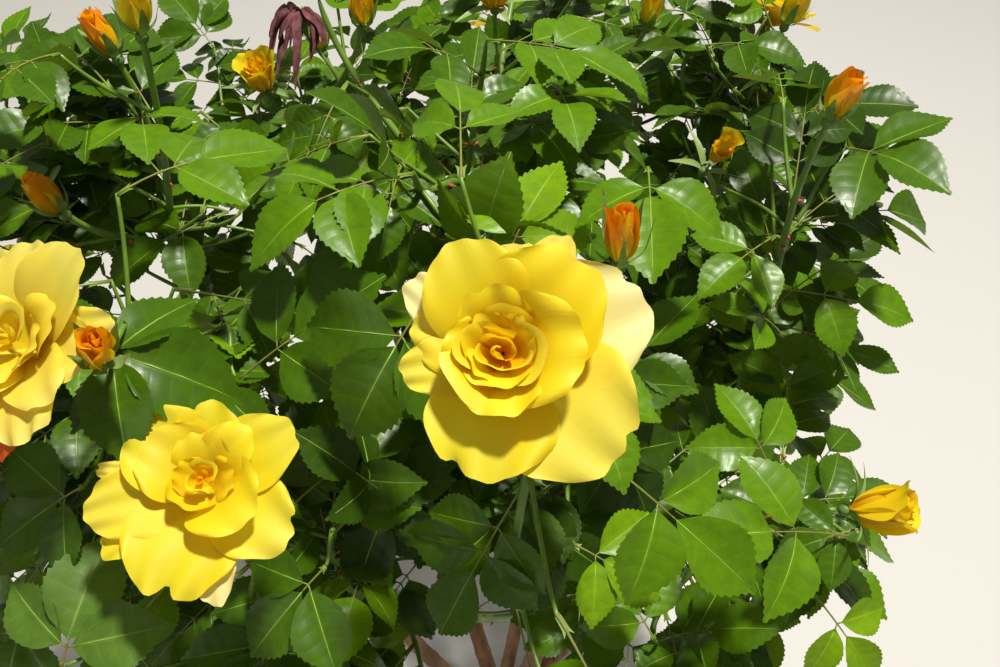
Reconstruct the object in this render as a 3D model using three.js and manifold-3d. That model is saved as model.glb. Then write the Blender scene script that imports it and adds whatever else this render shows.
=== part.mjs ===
// A yellow garden rose bush, about 1.2 m tall: a grafted knuckle at ground level, five woody canes,
// fourteen green boughs, and fourteen masses of flowering shoots with leaves, buds and open blooms.
// Millimetres, +Z up. The origin is the middle of the flat cut under the knuckle, at ground level.
// The front of the bush, towards -Y, is the side with the largest blooms.

import * as THREE from "three";
import { mergeVertices } from "three/addons/utils/BufferGeometryUtils.js";
import Module from "manifold-3d";

const wasm = await Module();
wasm.setup();

// Driving dimensions
const clearance = 0.3; // between one solid and the next where they meet
const closest = 0.8 * clearance; // a solid that comes nearer than this to another counts as touching it
const weld = 1e-4; // corners closer than this are one corner
const speck = 0.01; // cubic millimetres of overlap that count as none
const knuckle = { flare: 44, height: 62, sides: 14, clear: 0.6 };
const cane = { sides: 8, steps: 8, footHeight: 34 };
const bough = { sides: 6, steps: 6, thick: 5.2, thin: 3.4, share: 0.7, sag: 24, rise: 60, branching: 0.7 };
const stem = { sides: 4, steps: 4, thick: 3.4, thin: 2.2 };
const twig = { sides: 3, steps: 3, thick: 3.4, thin: 2.6, first: 0.14, last: 0.72, rise: 0.9 };
const ease = 0.36; // how far a curve holds its first and last direction, as a share of its span
const crown = { centre: [-60, 50, 830], reach: 440, up: 350, downFront: 230, downBack: 350 };
const tips = { count: 46, depth: 0.76, lowest: -0.72, clearOfFlowers: 88 };
const leaf = { stalk: 112, thick: 1.7, thin: 1.2, flat: 0.6, droop: 0.22 };
const leafSizes = { smallest: 0.84, largest: 1.1, fewestBlades: 4 };
const pairs = { at: [0.4, 0.74], joint: 0.025, splay: 1.12, waver: 0.1, tilt: 0.25 };
const bladeReach = { terminal: 84, lateral: 70 };
const blade = { shape: 0.7, widest: 0.44, fold: 0.15, thick: 2.1, topAt: 0.3, dip: 0.05 };
const leafRun = { first: 36, every: 68, belowTip: 4, belowFlower: 12, rise: 0.45, outward: 0.5, tries: 4 };
const space = { give: 60, dome: 1.1 }; // millimetres past a mass's border, and share of the crown's outline
const bloomWidth = { open: 106, halfOpen: 56, bud: 23 };
const bloomSides = { open: 12, closed: 6 };
const footDepth = { open: 0.24, halfOpen: 0.52, bud: 0.52 }; // of the width, from a flower's middle
const leafTurn = (144 * Math.PI) / 180; // from one leaf to the next round a rose shoot
const goldenAngle = Math.PI * (3 - Math.sqrt(5));

// Where each cane leaves the knuckle, and the middle and top of its run
const canes = [
  { name: "front", foot: [10, -14], middle: [44, -60, 384], top: [24, -122, 640], thick: 12.5, thin: 7.5 },
  { name: "left", foot: [-18, -4], middle: [-104, -36, 330], top: [-172, -30, 590], thick: 11, thin: 7 },
  { name: "back", foot: [-8, 16], middle: [-66, 104, 320], top: [-104, 172, 580], thick: 11.5, thin: 7.2 },
  { name: "right", foot: [18, 2], middle: [130, 6, 350], top: [196, 12, 590], thick: 10.5, thin: 6.5 },
  { name: "middle", foot: [0, 4], middle: [30, 60, 350], top: [14, 70, 640], thick: 9.5, thin: 6.2 },
];

// Each mass of foliage: the cane its bough grows from, how far up, and the middle of its own space
const masses = [
  { name: "front", cane: "front", from: 1, middle: [52, -185, 985] },
  { name: "front_left", cane: "front", from: 0.84, middle: [-140, -215, 905] },
  { name: "front_low", cane: "left", from: 0.72, middle: [-100, -130, 715] },
  { name: "left_front", cane: "left", from: 1, middle: [-262, -130, 985] },
  { name: "left", cane: "left", from: 0.86, middle: [-300, 62, 945] },
  { name: "left_low", cane: "left", from: 0.66, middle: [-300, -20, 715] },
  { name: "back_left", cane: "back", from: 1, middle: [-205, 262, 930] },
  { name: "back", cane: "middle", from: 0.84, middle: [0, 235, 980] },
  { name: "back_low", cane: "back", from: 0.72, middle: [-110, 320, 690] },
  { name: "back_right", cane: "right", from: 0.84, middle: [200, 225, 905] },
  { name: "right", cane: "right", from: 1, middle: [216, 5, 990] },
  { name: "right_front", cane: "right", from: 0.72, middle: [196, -160, 880] },
  { name: "right_low", cane: "middle", from: 0.62, middle: [150, 140, 700] },
  { name: "top", cane: "middle", from: 1, middle: [-48, 10, 1010] },
];

// The flowers: what they are, where, and which way they face. The first in a mass ends its main stem.
const flowers = [
  { mass: "front", kind: "open", at: [9, -243, 1130], faces: [-0.08, -0.52, 0.85] },
  { mass: "front", kind: "bud", at: [58, -160, 1122], faces: [-0.05, 0.1, 0.99] },
  { mass: "front_left", kind: "open", at: [-153, -254, 1030], faces: [0.04, -0.36, 0.93] },
  { mass: "left_front", kind: "open", at: [-224, -203, 1104], faces: [-0.22, -0.42, 0.88] },
  { mass: "left_front", kind: "bud", at: [-176, -196, 1128], faces: [0.25, -0.3, 0.92] },
  { mass: "left", kind: "bud", at: [-256, 47, 1100], faces: [-0.3, 0.1, 0.95] },
  { mass: "left", kind: "bud", at: [-218, 22, 1134], faces: [0.02, 0.1, 0.99] },
  { mass: "left", kind: "bud", at: [-293, -32, 1033], faces: [-0.35, -0.05, 0.93] },
  { mass: "back_left", kind: "halfOpen", at: [-208, 224, 960], faces: [-0.1, -0.3, 0.95] },
  { mass: "back_left", kind: "bud", at: [-114, 221, 1011], faces: [0.1, 0, 0.99] },
  { mass: "back", kind: "halfOpen", at: [-4, 190, 1046], faces: [0, -0.2, 0.98] },
  { mass: "back", kind: "bud", at: [118, 176, 1039], faces: [0.1, -0.1, 0.99] },
  { mass: "back_right", kind: "bud", at: [245, 223, 1012], faces: [0.3, 0.1, 0.95] },
  { mass: "right", kind: "bud", at: [195, -42, 1117], faces: [0.15, -0.05, 0.98] },
  { mass: "right_front", kind: "halfOpen", at: [236, -199, 924], faces: [0.86, -0.24, 0.46] },
  { mass: "left_low", kind: "open", at: [-410, 20, 880], faces: [-0.7, -0.1, 0.7] },
  { mass: "back_low", kind: "open", at: [-60, 420, 880], faces: [0.1, 0.6, 0.79] },
  { mass: "back_low", kind: "bud", at: [-190, 385, 880], faces: [-0.3, 0.4, 0.86] },
  { mass: "back_right", kind: "open", at: [255, 310, 960], faces: [0.4, 0.5, 0.77] },
  { mass: "right_low", kind: "halfOpen", at: [300, 150, 860], faces: [0.7, 0.2, 0.68] },
];

const finishes = {
  bark: { color: 0x7a5a3c, roughness: 0.8, metalness: 0 },
  green: { color: 0x5f7a2c, roughness: 0.55, metalness: 0 },
  foliage: { color: 0x3f7420, roughness: 0.4, metalness: 0 },
};

const up = new THREE.Vector3(0, 0, 1);
const vector = (point) => new THREE.Vector3(...point);

// The part of one direction that lies across another, as a unit
function across(direction, axis) {
  return direction.clone().addScaledVector(axis, -direction.dot(axis)).normalize();
}

// A seeded run of numbers from 0 to 1, the same each time
function draws(seed) {
  let state = seed;
  return () => (state = (Math.imul(1664525, state) + 1013904223) >>> 0) / 2 ** 32;
}

// A closed geometry as a solid that can be joined and cut
function solidOf(geometry) {
  const bare = geometry.clone();
  bare.deleteAttribute("normal");
  bare.deleteAttribute("uv");
  const merged = mergeVertices(bare, weld);
  return new wasm.Manifold(
    new wasm.Mesh({
      numProp: 3,
      vertProperties: merged.attributes.position.array,
      triVerts: new Uint32Array(merged.index.array),
    }),
  );
}

// A solid as a named mesh. Only its largest body is kept, so a scrap or a sealed hollow is dropped.
function meshOf(solid, name, finish) {
  const largest = solid.decompose().sort((a, b) => b.volume() - a.volume())[0];
  const { vertProperties, triVerts } = largest.getMesh();
  const geometry = new THREE.BufferGeometry()
    .setAttribute("position", new THREE.BufferAttribute(vertProperties, 3))
    .setIndex(new THREE.BufferAttribute(triVerts, 1));
  geometry.computeVertexNormals();
  const mesh = new THREE.Mesh(geometry, new THREE.MeshStandardMaterial(finishes[finish]));
  mesh.name = name;
  return mesh;
}

function faceted(points, faces) {
  return solidOf(new THREE.BufferGeometry().setFromPoints(points).setIndex(faces.flat()));
}

// A limb: rings of a few sides along a curve, tapering from thick to thin, closed at both ends
function limb(curve, { thick, thin, sides, steps }) {
  const frames = curve.computeFrenetFrames(steps, false);
  const points = [];
  const faces = [];
  for (let step = 0; step <= steps; step++) {
    const radius = THREE.MathUtils.lerp(thick, thin, step / steps);
    for (let side = 0; side < sides; side++) {
      const turn = (2 * Math.PI * side) / sides;
      const point = curve.getPointAt(step / steps);
      point.addScaledVector(frames.normals[step], radius * Math.cos(turn));
      point.addScaledVector(frames.binormals[step], radius * Math.sin(turn));
      points.push(point);
    }
  }
  for (let step = 0; step < steps; step++) {
    for (let side = 0; side < sides; side++) {
      const a = step * sides + side;
      const b = step * sides + ((side + 1) % sides);
      faces.push([a, b, b + sides], [a, b + sides, a + sides]);
    }
  }
  const last = steps * sides;
  for (let side = 1; side < sides - 1; side++) {
    faces.push([0, side + 1, side], [last, last + side, last + side + 1]);
  }
  return faceted(points, faces);
}

// The same limb with a clearance round it, to be cut out of what meets it
function limbClear(curve, { thick, thin, sides, steps }) {
  return limb(curve, { thick: thick + clearance, thin: thin + clearance, sides, steps });
}

// A curve that leaves one point along a direction and reaches another along its own
function bend(from, leaving, to, arriving) {
  const pull = from.distanceTo(to) * ease;
  const first = from.clone().addScaledVector(leaving, pull);
  const second = to.clone().addScaledVector(arriving, -pull);
  return new THREE.CubicBezierCurve3(from, first, second, to);
}

// A curve from one point to another that passes through a third halfway
function passing(from, middle, to) {
  const pull = middle.clone().multiplyScalar(2).addScaledVector(from, -0.5).addScaledVector(to, -0.5);
  return new THREE.QuadraticBezierCurve3(from, pull, to);
}

// A rose leaf: a slender three-sided stalk, flat on top, with pairs of blades on its sides and one at its
// end. It gives where its tip is, and a way to make it with some of its blades.
function roseLeaf(root, along, size, draw) {
  const length = leaf.stalk * size;
  const end = root.clone().addScaledVector(along, length).addScaledVector(up, -length * leaf.droop);
  const arch = new THREE.QuadraticBezierCurve3(root, root.clone().addScaledVector(along, length / 2), end);
  const joints = pairs.at.flatMap((share) => [share - pairs.joint, share + pairs.joint]);
  const rings = [0, ...joints, 1].map((share) => stalkRing(arch, share));
  const blades = pairs.at.flatMap((share, pair) =>
    [-1, 1].map((side) => {
      const ring = 2 * pair + 1;
      const { heading, facing } = rings[ring];
      const splay = -side * (pairs.splay + pairs.waver * (2 * draw() - 1));
      const outward = heading.clone().applyAxisAngle(facing, splay);
      const tilt = facing.clone().applyAxisAngle(outward, pairs.tilt * (2 * draw() - 1));
      return { ring, side, outward, tilt, from: arch.getPointAt(share), reach: bladeReach.lateral * size };
    }),
  );
  const { heading, facing } = rings.at(-1);
  const reach = bladeReach.terminal * size;
  blades.push({ ring: rings.length - 1, side: 0, outward: heading, tilt: facing, from: end, reach });
  return {
    tip: end.clone().addScaledVector(heading, reach),
    count: blades.length,
    make: (kept) => leafSolid(rings, blades.filter((_, i) => kept[i])),
  };
}

// A ring of a leaf stalk: its top left, top right and lower corners
function stalkRing(arch, share) {
  const heading = arch.getTangentAt(share);
  const facing = across(up, heading);
  const right = new THREE.Vector3().crossVectors(heading, facing);
  const half = THREE.MathUtils.lerp(leaf.thick, leaf.thin, share);
  const top = arch.getPointAt(share).addScaledVector(facing, half * leaf.flat);
  const below = arch.getPointAt(share).addScaledVector(facing, -half);
  const corners = [top.clone().addScaledVector(right, -half), top.clone().addScaledVector(right, half), below];
  return { heading, facing, corners };
}

// The corners of a blade, a folded diamond: the widest on its right and left, its tip, and its raised top
function bladeCorners({ side, outward, tilt, from, reach }) {
  const halfWidth = (reach * blade.shape) / 2;
  const right = new THREE.Vector3().crossVectors(outward, tilt);
  right.multiplyScalar(side < 0 ? -halfWidth : halfWidth);
  const widest = from.clone().addScaledVector(outward, reach * blade.widest);
  widest.addScaledVector(tilt, halfWidth * blade.fold);
  return [
    widest.clone().add(right),
    widest.clone().sub(right),
    from.clone().addScaledVector(outward, reach).addScaledVector(tilt, -reach * blade.dip),
    from.clone().addScaledVector(outward, reach * blade.topAt).addScaledVector(tilt, blade.thick),
  ];
}

// The stalk's rings and the blades that grow from them as one closed solid. Where a blade grows, its
// faces take the place of the stalk's own side or end.
function leafSolid(rings, blades) {
  const points = rings.flatMap((ring) => ring.corners);
  const lastRing = rings.length - 1;
  const bare = (ring, side) => !blades.some((one) => one.ring === ring && one.side === side);
  const faces = [[2, 1, 0]];
  for (let ring = 0; ring < lastRing; ring++) {
    const [left, right, below] = [3 * ring, 3 * ring + 1, 3 * ring + 2];
    faces.push([left, right, right + 3], [left, right + 3, left + 3]);
    if (bare(ring, 1)) faces.push([right, below, below + 3], [right, below + 3, right + 3]);
    if (bare(ring, -1)) faces.push([below, left, left + 3], [below, left + 3, below + 3]);
  }
  if (bare(lastRing, 0)) faces.push([3 * lastRing, 3 * lastRing + 1, 3 * lastRing + 2]);
  for (const one of blades) {
    const [near, far, tip, top] = [0, 1, 2, 3].map((corner) => points.length + corner);
    const [left, right, below] = [0, 1, 2].map((corner) => 3 * one.ring + corner);
    points.push(...bladeCorners(one));
    const made = [
      [near, tip, top],
      [tip, far, top],
      [below, far, tip],
      [below, tip, near],
    ];
    if (one.side === 0) {
      made.push([left, right, top], [right, near, top], [far, left, top]);
      made.push([right, below, near], [below, left, far]);
    } else {
      const edge = one.side > 0 ? right : left;
      made.push([edge + 3, edge, top], [edge, near, top], [far, edge + 3, top]);
      made.push([edge, below, near], [below + 3, edge + 3, far], [below, below + 3, far]);
    }
    faces.push(...(one.side < 0 ? made.map((face) => face.reverse()) : made));
  }
  return faceted(points, faces);
}

// Turns a lathe shape, whose axis is Y, so that it stands at a point and faces a direction
function stand(geometry, at, faces) {
  const turn = new THREE.Quaternion().setFromUnitVectors(new THREE.Vector3(0, 1, 0), faces);
  return solidOf(geometry.applyQuaternion(turn).translate(at.x, at.y, at.z));
}

// Scallops the rings of a lathe shape into lobes, each ring turned a little from the last
function scallop(geometry, rings, { lobes, depth, twist }) {
  const places = geometry.getAttribute("position");
  for (let i = 0; i < places.count; i++) {
    const turn = Math.atan2(places.getZ(i), places.getX(i));
    const reach = 1 + depth * Math.cos(lobes * turn + (i % rings) * twist);
    places.setX(i, places.getX(i) * reach);
    places.setZ(i, places.getZ(i) * reach);
  }
  return geometry;
}

// An open bloom: a cup of guard petals, a lower whorl inside it and a raised heart. Sizes are shares of
// its radius, from the foot of the cup, over the rim, to the middle.
function openBloom(at, faces, radius) {
  const profile = [
    [0, -0.6],
    [0.3, -0.44],
    [0.86, -0.02],
    [1.0, 0.12],
    [0.8, 0.17],
    [0.56, 0.18],
    [0.62, 0.4],
    [0.4, 0.34],
    [0.2, 0.44],
    [0, 0.3],
  ].map(([out, height]) => new THREE.Vector2(out * radius, height * radius));
  const geometry = new THREE.LatheGeometry(profile, bloomSides.open);
  return stand(scallop(geometry, profile.length, { lobes: 5, depth: 0.09, twist: 0.9 }), at, faces);
}

// A bud or a half-open bloom: a pointed egg of furled petals on its green cup
function closedBloom(at, faces, radius) {
  const profile = [
    [0, -1.5],
    [0.5, -1.2],
    [0.96, -0.3],
    [0.98, 0.25],
    [0.66, 0.95],
    [0, 1.3],
  ].map(([out, height]) => new THREE.Vector2(out * radius, height * radius));
  return stand(new THREE.LatheGeometry(profile, bloomSides.closed), at, faces);
}

function flowerSolid({ kind, at, faces }) {
  const shape = kind === "open" ? openBloom : closedBloom;
  return shape(vector(at), vector(faces).normalize(), bloomWidth[kind] / 2);
}

// Where a shoot ends inside the foot of its flower
function flowerFoot({ kind, at, faces }) {
  return vector(at).addScaledVector(vector(faces).normalize(), -bloomWidth[kind] * footDepth[kind]);
}

// The knuckle: a lumpy dome that flares at the ground, with a flat cut below
function knuckleSolid(extra = 0) {
  const profile = [
    [1, 0],
    [0.93, 0.14],
    [0.68, 0.4],
    [0.7, 0.72],
    [0.42, 0.95],
  ].map(([out, height]) => new THREE.Vector2(out * knuckle.flare + extra, height * knuckle.height));
  profile.unshift(new THREE.Vector2(0, -extra));
  profile.push(new THREE.Vector2(0, knuckle.height + extra));
  const geometry = new THREE.LatheGeometry(profile, knuckle.sides);
  scallop(geometry, profile.length, { lobes: 5, depth: 0.08, twist: 0.1 });
  return solidOf(geometry.rotateX(Math.PI / 2));
}

const rose = new THREE.Group();
rose.name = "rose_bush";
const knuckleBody = knuckleSolid();
rose.add(meshOf(knuckleBody, "knuckle", "bark"));
const limbs = [knuckleBody];

// Canes: each starts inside the knuckle, and is cut clear of it and of the canes made before
const caneRuns = new Map();
for (const { name, foot, middle, top, thick, thin } of canes) {
  const start = new THREE.Vector3(foot[0], foot[1], cane.footHeight);
  const curve = passing(start, vector(middle), vector(top));
  const size = { ...cane, thick, thin };
  let solid = limb(curve, size).subtract(knuckleSolid(knuckle.clear));
  for (const other of caneRuns.values()) solid = solid.subtract(other.clear);
  caneRuns.set(name, { curve, clear: limbClear(curve, size) });
  limbs.push(solid);
  rose.add(meshOf(solid, `cane_${name}`, "bark"));
}

// A bough grows on from its cane's top or leaves its side, and ends below the middle of its mass
function boughCurve({ from, middle, cane: parent }) {
  const { curve } = caneRuns.get(parent);
  const start = curve.getPointAt(from);
  const leaving = curve.getTangentAt(from);
  const goal = vector(middle);
  if (from === 1) {
    start.addScaledVector(leaving, clearance);
  } else {
    leaving.addScaledVector(goal.clone().sub(start).setZ(0).normalize(), bough.branching).normalize();
  }
  const tip = start.clone().lerp(goal, bough.share).addScaledVector(up, -bough.sag);
  const arriving = goal.clone().addScaledVector(up, bough.rise).sub(tip).normalize();
  return bend(start, leaving, tip, arriving);
}

const boughRuns = masses.map((mass) => ({ cane: mass.cane, curve: boughCurve(mass) }));
masses.forEach((mass, i) => {
  let solid = limb(boughRuns[i].curve, bough).subtract(caneRuns.get(mass.cane).clear);
  for (const other of boughRuns.slice(0, i)) {
    if (other.cane === mass.cane) solid = solid.subtract(limbClear(other.curve, bough));
  }
  limbs.push(solid);
  rose.add(meshOf(solid, `bough_${mass.name}`, "green"));
});

// How far a point lies from the crown's centre, as a share of the way to its outline. The underside is
// higher at the front.
function domeShare(point) {
  const [x, y, z] = point.clone().sub(vector(crown.centre)).toArray();
  const front = THREE.MathUtils.clamp(0.5 - (0.5 * y) / crown.reach, 0, 1);
  const down = THREE.MathUtils.lerp(crown.downBack, crown.downFront, front);
  return Math.hypot(x / crown.reach, y / crown.reach, z / (z > 0 ? crown.up : down));
}

// The mass whose middle is nearest to a point
function nearestMass(point) {
  const far = (mass) => vector(mass.middle).distanceTo(point);
  return masses.reduce((best, mass) => (far(mass) < far(best) ? mass : best));
}

// A mass's own space is what lies nearest to its middle, with a little give, inside the crown
function inOwnSpace(point, mass) {
  const own = vector(mass.middle).distanceTo(point) - space.give;
  return domeShare(point) < space.dome && vector(nearestMass(point).middle).distanceTo(point) > own;
}

// The tips of the leafy twigs: points spread evenly by the golden angle over a dome inside the crown's
// outline. None comes close to a flower.
function leafyTips() {
  const found = [];
  for (let i = 0; i < tips.count; i++) {
    const height = THREE.MathUtils.lerp(1, tips.lowest, (i + 0.5) / tips.count);
    const turn = i * goldenAngle;
    const flat = Math.sqrt(1 - height * height);
    const ray = new THREE.Vector3(flat * Math.cos(turn), flat * Math.sin(turn), height);
    const reach = tips.depth / domeShare(ray.clone().add(vector(crown.centre)));
    const tip = ray.multiplyScalar(reach).add(vector(crown.centre));
    if (flowers.every(({ at }) => vector(at).distanceTo(tip) > tips.clearOfFlowers)) found.push(tip);
  }
  return found;
}

// Whether a solid touches any other
function touches(solid, others) {
  return others.some((other) => solid.minGap(other, clearance) < closest);
}

// The shoots of one mass: a main stem on from its bough to its first flower, and a twig to each other
// flower and leafy tip from further down the stem
function shootsOf(mass, boughRun, leafy, others) {
  const start = boughRun.getPointAt(1);
  const heading = boughRun.getTangentAt(1);
  start.addScaledVector(heading, clearance);
  const ends = flowers
    .filter((flower) => flower.mass === mass.name)
    .map((flower) => ({ flower, to: flowerFoot(flower), facing: vector(flower.faces).normalize() }));
  for (const to of leafy) {
    const facing = to.clone().sub(vector(crown.centre)).normalize().addScaledVector(up, twig.rise).normalize();
    ends.push({ to, facing });
  }
  const main = ends.find(({ to, facing }) => !touches(limb(bend(start, heading, to, facing), stem), others));
  const stemCurve = bend(start, heading, main.to, main.facing);
  const shoots = [{ ...main, curve: stemCurve, size: stem }];
  const rest = ends.filter((end) => end !== main);
  rest.forEach((end, i) => {
    const share = THREE.MathUtils.lerp(twig.first, twig.last, (i + 0.5) / rest.length);
    const from = stemCurve.getPointAt(share);
    const leaving = stemCurve.getTangentAt(share).add(end.to.clone().sub(from).normalize()).normalize();
    shoots.push({ ...end, curve: bend(from, leaving, end.to, end.facing), size: twig });
  });
  return shoots;
}

// Stems, twigs and flowers come before any leaf, so that no leaf takes a flower's place. A twig that would
// touch another node is skipped.
const allTips = leafyTips();
const foliage = [];
masses.forEach((mass, i) => {
  const leafy = allTips.filter((tip) => nearestMass(tip) === mass);
  const others = [...limbs, ...foliage.map((done) => done.solid)];
  const grown = shootsOf(mass, boughRuns[i].curve, leafy, others).map((shoot) => {
    const bare = limb(shoot.curve, shoot.size);
    return { ...shoot, solid: shoot.flower ? bare.add(flowerSolid(shoot.flower)) : bare };
  });
  const shoots = grown.filter(({ solid }) => !touches(solid, others));
  const solid = wasm.Manifold.union(shoots.map((shoot) => shoot.solid));
  foliage.push({ mass, shoots, solid, draw: draws(i + 1) });
});

// A leaf at a share of the way up a shoot and turned round it, leaning up and outwards
function leafOn(curve, share, turn, size, draw) {
  const root = curve.getPointAt(share);
  const heading = curve.getTangentAt(share);
  const side = new THREE.Vector3(1, 0, 0).applyAxisAngle(up, turn);
  const outward = root.clone().sub(vector(crown.centre)).setZ(0).normalize();
  const along = across(side, heading).addScaledVector(heading, leafRun.rise);
  along.addScaledVector(outward, leafRun.outward).normalize();
  return roseLeaf(root, along, size, draw);
}

// Which of a leaf's blades touch nothing of the other nodes, and nothing of their own but the shoot that
// the stalk stands in
function freeBlades(made, own, others) {
  const only = (one) => made.make(Array.from({ length: made.count }, (_, i) => i === one));
  const rooted = only(-1).intersect(own).volume() + speck;
  return Array.from({ length: made.count }, (_, one) => {
    const alone = only(one);
    return !touches(alone, others) && alone.intersect(own).volume() < rooted;
  });
}

// Leaves stand along each shoot from its tip down, each turned from the last. A leaf that would leave its
// mass's space or lose too many blades tries the next side of the shoot, and is then skipped.
function addLeaves(own) {
  const others = [...limbs, ...foliage.filter((one) => one !== own).map((one) => one.solid)];
  for (const { curve, flower } of own.shoots) {
    const length = curve.getLength();
    const bareEnd = flower ? bloomWidth[flower.kind] / 2 + leafRun.belowFlower : leafRun.belowTip;
    const last = length - bareEnd;
    const steps = Math.max(1, Math.round((last - leafRun.first) / leafRun.every));
    let turn = own.draw() * 2 * Math.PI;
    for (let i = steps; i >= 0; i--) {
      const share = THREE.MathUtils.lerp(leafRun.first, last, i / steps) / length;
      const size = THREE.MathUtils.lerp(leafSizes.smallest, leafSizes.largest, own.draw());
      turn += leafTurn;
      for (let side = 0; side < leafRun.tries; side++) {
        const made = leafOn(curve, share, turn + side * goldenAngle, size, own.draw);
        if (!inOwnSpace(made.tip, own.mass)) continue;
        const kept = freeBlades(made, own.solid, others);
        if (kept.filter(Boolean).length < leafSizes.fewestBlades) continue;
        own.solid = own.solid.add(made.make(kept));
        break;
      }
    }
  }
}

for (const own of foliage) {
  addLeaves(own);
  rose.add(meshOf(own.solid, `foliage_${own.mass.name}`, "foliage"));
}

export default rose;
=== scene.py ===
# %% [markdown]
# # A yellow garden rose bush
# The solids of the bush give its limbs, its reach and its weight. This lesson grows the real plant over
# them: bark, green shoots, prickles, some hundreds of compound leaves, three large open blooms and the buds
# round them. Everything is in metres, +Z up, and the ground is at zero.

import math

import bpy
import numpy as np
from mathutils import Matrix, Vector


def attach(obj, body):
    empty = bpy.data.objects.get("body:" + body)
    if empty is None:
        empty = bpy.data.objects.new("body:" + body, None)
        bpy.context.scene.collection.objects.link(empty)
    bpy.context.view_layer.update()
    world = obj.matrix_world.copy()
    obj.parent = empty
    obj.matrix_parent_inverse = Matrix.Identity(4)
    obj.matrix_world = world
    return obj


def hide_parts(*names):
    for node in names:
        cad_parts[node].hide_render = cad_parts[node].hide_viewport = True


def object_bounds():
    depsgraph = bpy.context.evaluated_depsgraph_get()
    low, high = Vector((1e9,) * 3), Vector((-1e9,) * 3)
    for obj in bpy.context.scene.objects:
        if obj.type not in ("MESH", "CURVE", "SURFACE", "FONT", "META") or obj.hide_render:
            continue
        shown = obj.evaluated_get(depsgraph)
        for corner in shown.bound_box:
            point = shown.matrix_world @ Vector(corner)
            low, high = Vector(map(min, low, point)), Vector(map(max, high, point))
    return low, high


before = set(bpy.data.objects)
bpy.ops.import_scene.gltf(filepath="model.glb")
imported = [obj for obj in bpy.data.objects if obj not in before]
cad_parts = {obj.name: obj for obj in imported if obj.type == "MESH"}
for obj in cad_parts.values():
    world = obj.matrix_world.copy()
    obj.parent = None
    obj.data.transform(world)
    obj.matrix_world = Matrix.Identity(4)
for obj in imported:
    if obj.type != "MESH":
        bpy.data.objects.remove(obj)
cad_low, cad_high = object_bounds()
print("solids reach", [round(high - low, 3) for low, high in zip(cad_low, cad_high)])

# %% [markdown]
# ## The camera
# The photograph looks down on the bush from close by, as a person does who bends over the blooms. A lens of
# 35 mm on a 36 mm sensor sees as wide as the picture. The blooms' known width gives the distance.

# %% The camera and what it sees of a point
EYE = np.array([0.0, -0.5, 1.45])
LOOK_DOWN = math.radians(50)
LENS, SENSOR = 35.0, 36.0
PICTURE = (1000, 667)

camera = bpy.data.objects.new("camera", bpy.data.cameras.new("camera"))
camera.data.lens = LENS
camera.data.sensor_width = SENSOR
camera.data.clip_start = 0.01
camera.location = EYE
camera.rotation_euler = (math.pi / 2 - LOOK_DOWN, 0, 0)
bpy.context.scene.collection.objects.link(camera)
bpy.context.scene.camera = camera

FOCAL = LENS / SENSOR * PICTURE[0]
MIDDLE = (PICTURE[0] / 2, PICTURE[1] / 2)
AHEAD = np.array([0, math.cos(LOOK_DOWN), -math.sin(LOOK_DOWN)])
VIEW_UP = np.array([0, math.sin(LOOK_DOWN), math.cos(LOOK_DOWN)])


def seen_at(point):
    """Where a point falls in the picture, and how far ahead of the eye it is."""
    away = np.asarray(point) - EYE
    depth = away @ AHEAD
    return MIDDLE[0] + FOCAL * away[0] / depth, MIDDLE[1] - FOCAL * (away @ VIEW_UP) / depth, depth


def place(px, py, depth):
    """The point that a place in the picture shows at a distance ahead of the eye."""
    right = np.array([1.0, 0, 0])
    sideways = (px - MIDDLE[0]) / FOCAL
    upwards = (MIDDLE[1] - py) / FOCAL
    return EYE + depth * (AHEAD + sideways * right + upwards * VIEW_UP)


print("picture's middle at half a metre:", np.round(place(*MIDDLE, 0.5), 3))

# %% [markdown]
# ## Floor and light
# The floor is plain and pale. One soft lamp stands high, a little behind and to the right, where the sun
# was, so that each bloom shades the leaves under it. A pale sky fills the shadows.

# %% Floor, lamps and sky
FLOOR_HALF = 6.0
AIM = Vector((0, 0, 0.95))  # the middle of the crown, where the lamps point

floor_mesh = bpy.data.meshes.new("floor")
floor_corners = [(x * FLOOR_HALF, y * FLOOR_HALF, 0) for x, y in [(-1, -1), (1, -1), (1, 1), (-1, 1)]]
floor_mesh.from_pydata(floor_corners, [], [(0, 1, 2, 3)])
floor = bpy.data.objects.new("floor", floor_mesh)
bpy.context.scene.collection.objects.link(floor)
floor_finish = bpy.data.materials.new("floor_pale")
floor_finish.use_nodes = True
floor_shader = floor_finish.node_tree.nodes["Principled BSDF"]
floor_shader.inputs["Base Color"].default_value = (0.62, 0.61, 0.58, 1)
floor_shader.inputs["Roughness"].default_value = 0.9
floor_mesh.materials.append(floor_finish)


def lamp(name, at, size, watts, colour):
    """A square soft lamp that shines at the crown."""
    made = bpy.data.objects.new(name, bpy.data.lights.new(name, "AREA"))
    made.data.size = size
    made.data.energy = watts
    made.data.color = colour
    made.location = at
    made.rotation_euler = (AIM - made.location).to_track_quat("-Z", "Y").to_euler()
    bpy.context.scene.collection.objects.link(made)


lamp("key", (0.75, 0.35, 4.4), 0.28, 245, (1.0, 0.96, 0.88))
lamp("fill", (-2.2, -2.6, 2.6), 2.0, 18, (1.0, 0.97, 0.9))
sky = bpy.data.worlds.new("sky")
sky.use_nodes = True
sky_light = sky.node_tree.nodes["Background"]
sky_light.inputs["Color"].default_value = (1.0, 0.98, 0.92, 1)
sky_light.inputs["Strength"].default_value = 0.24
bpy.context.scene.world = sky
bpy.context.scene.view_settings.view_transform = "Standard"

# %% [markdown]
# ## Helpers for shapes
# A rose is thousands of small things, so each kind is gathered as arrays of corners and triangles and made
# into one mesh at the end. A run is a smooth line that is measured along its length, a tube is rings along
# a line, and a heap gathers what belongs in one mesh, with a finish for each triangle.

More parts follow.
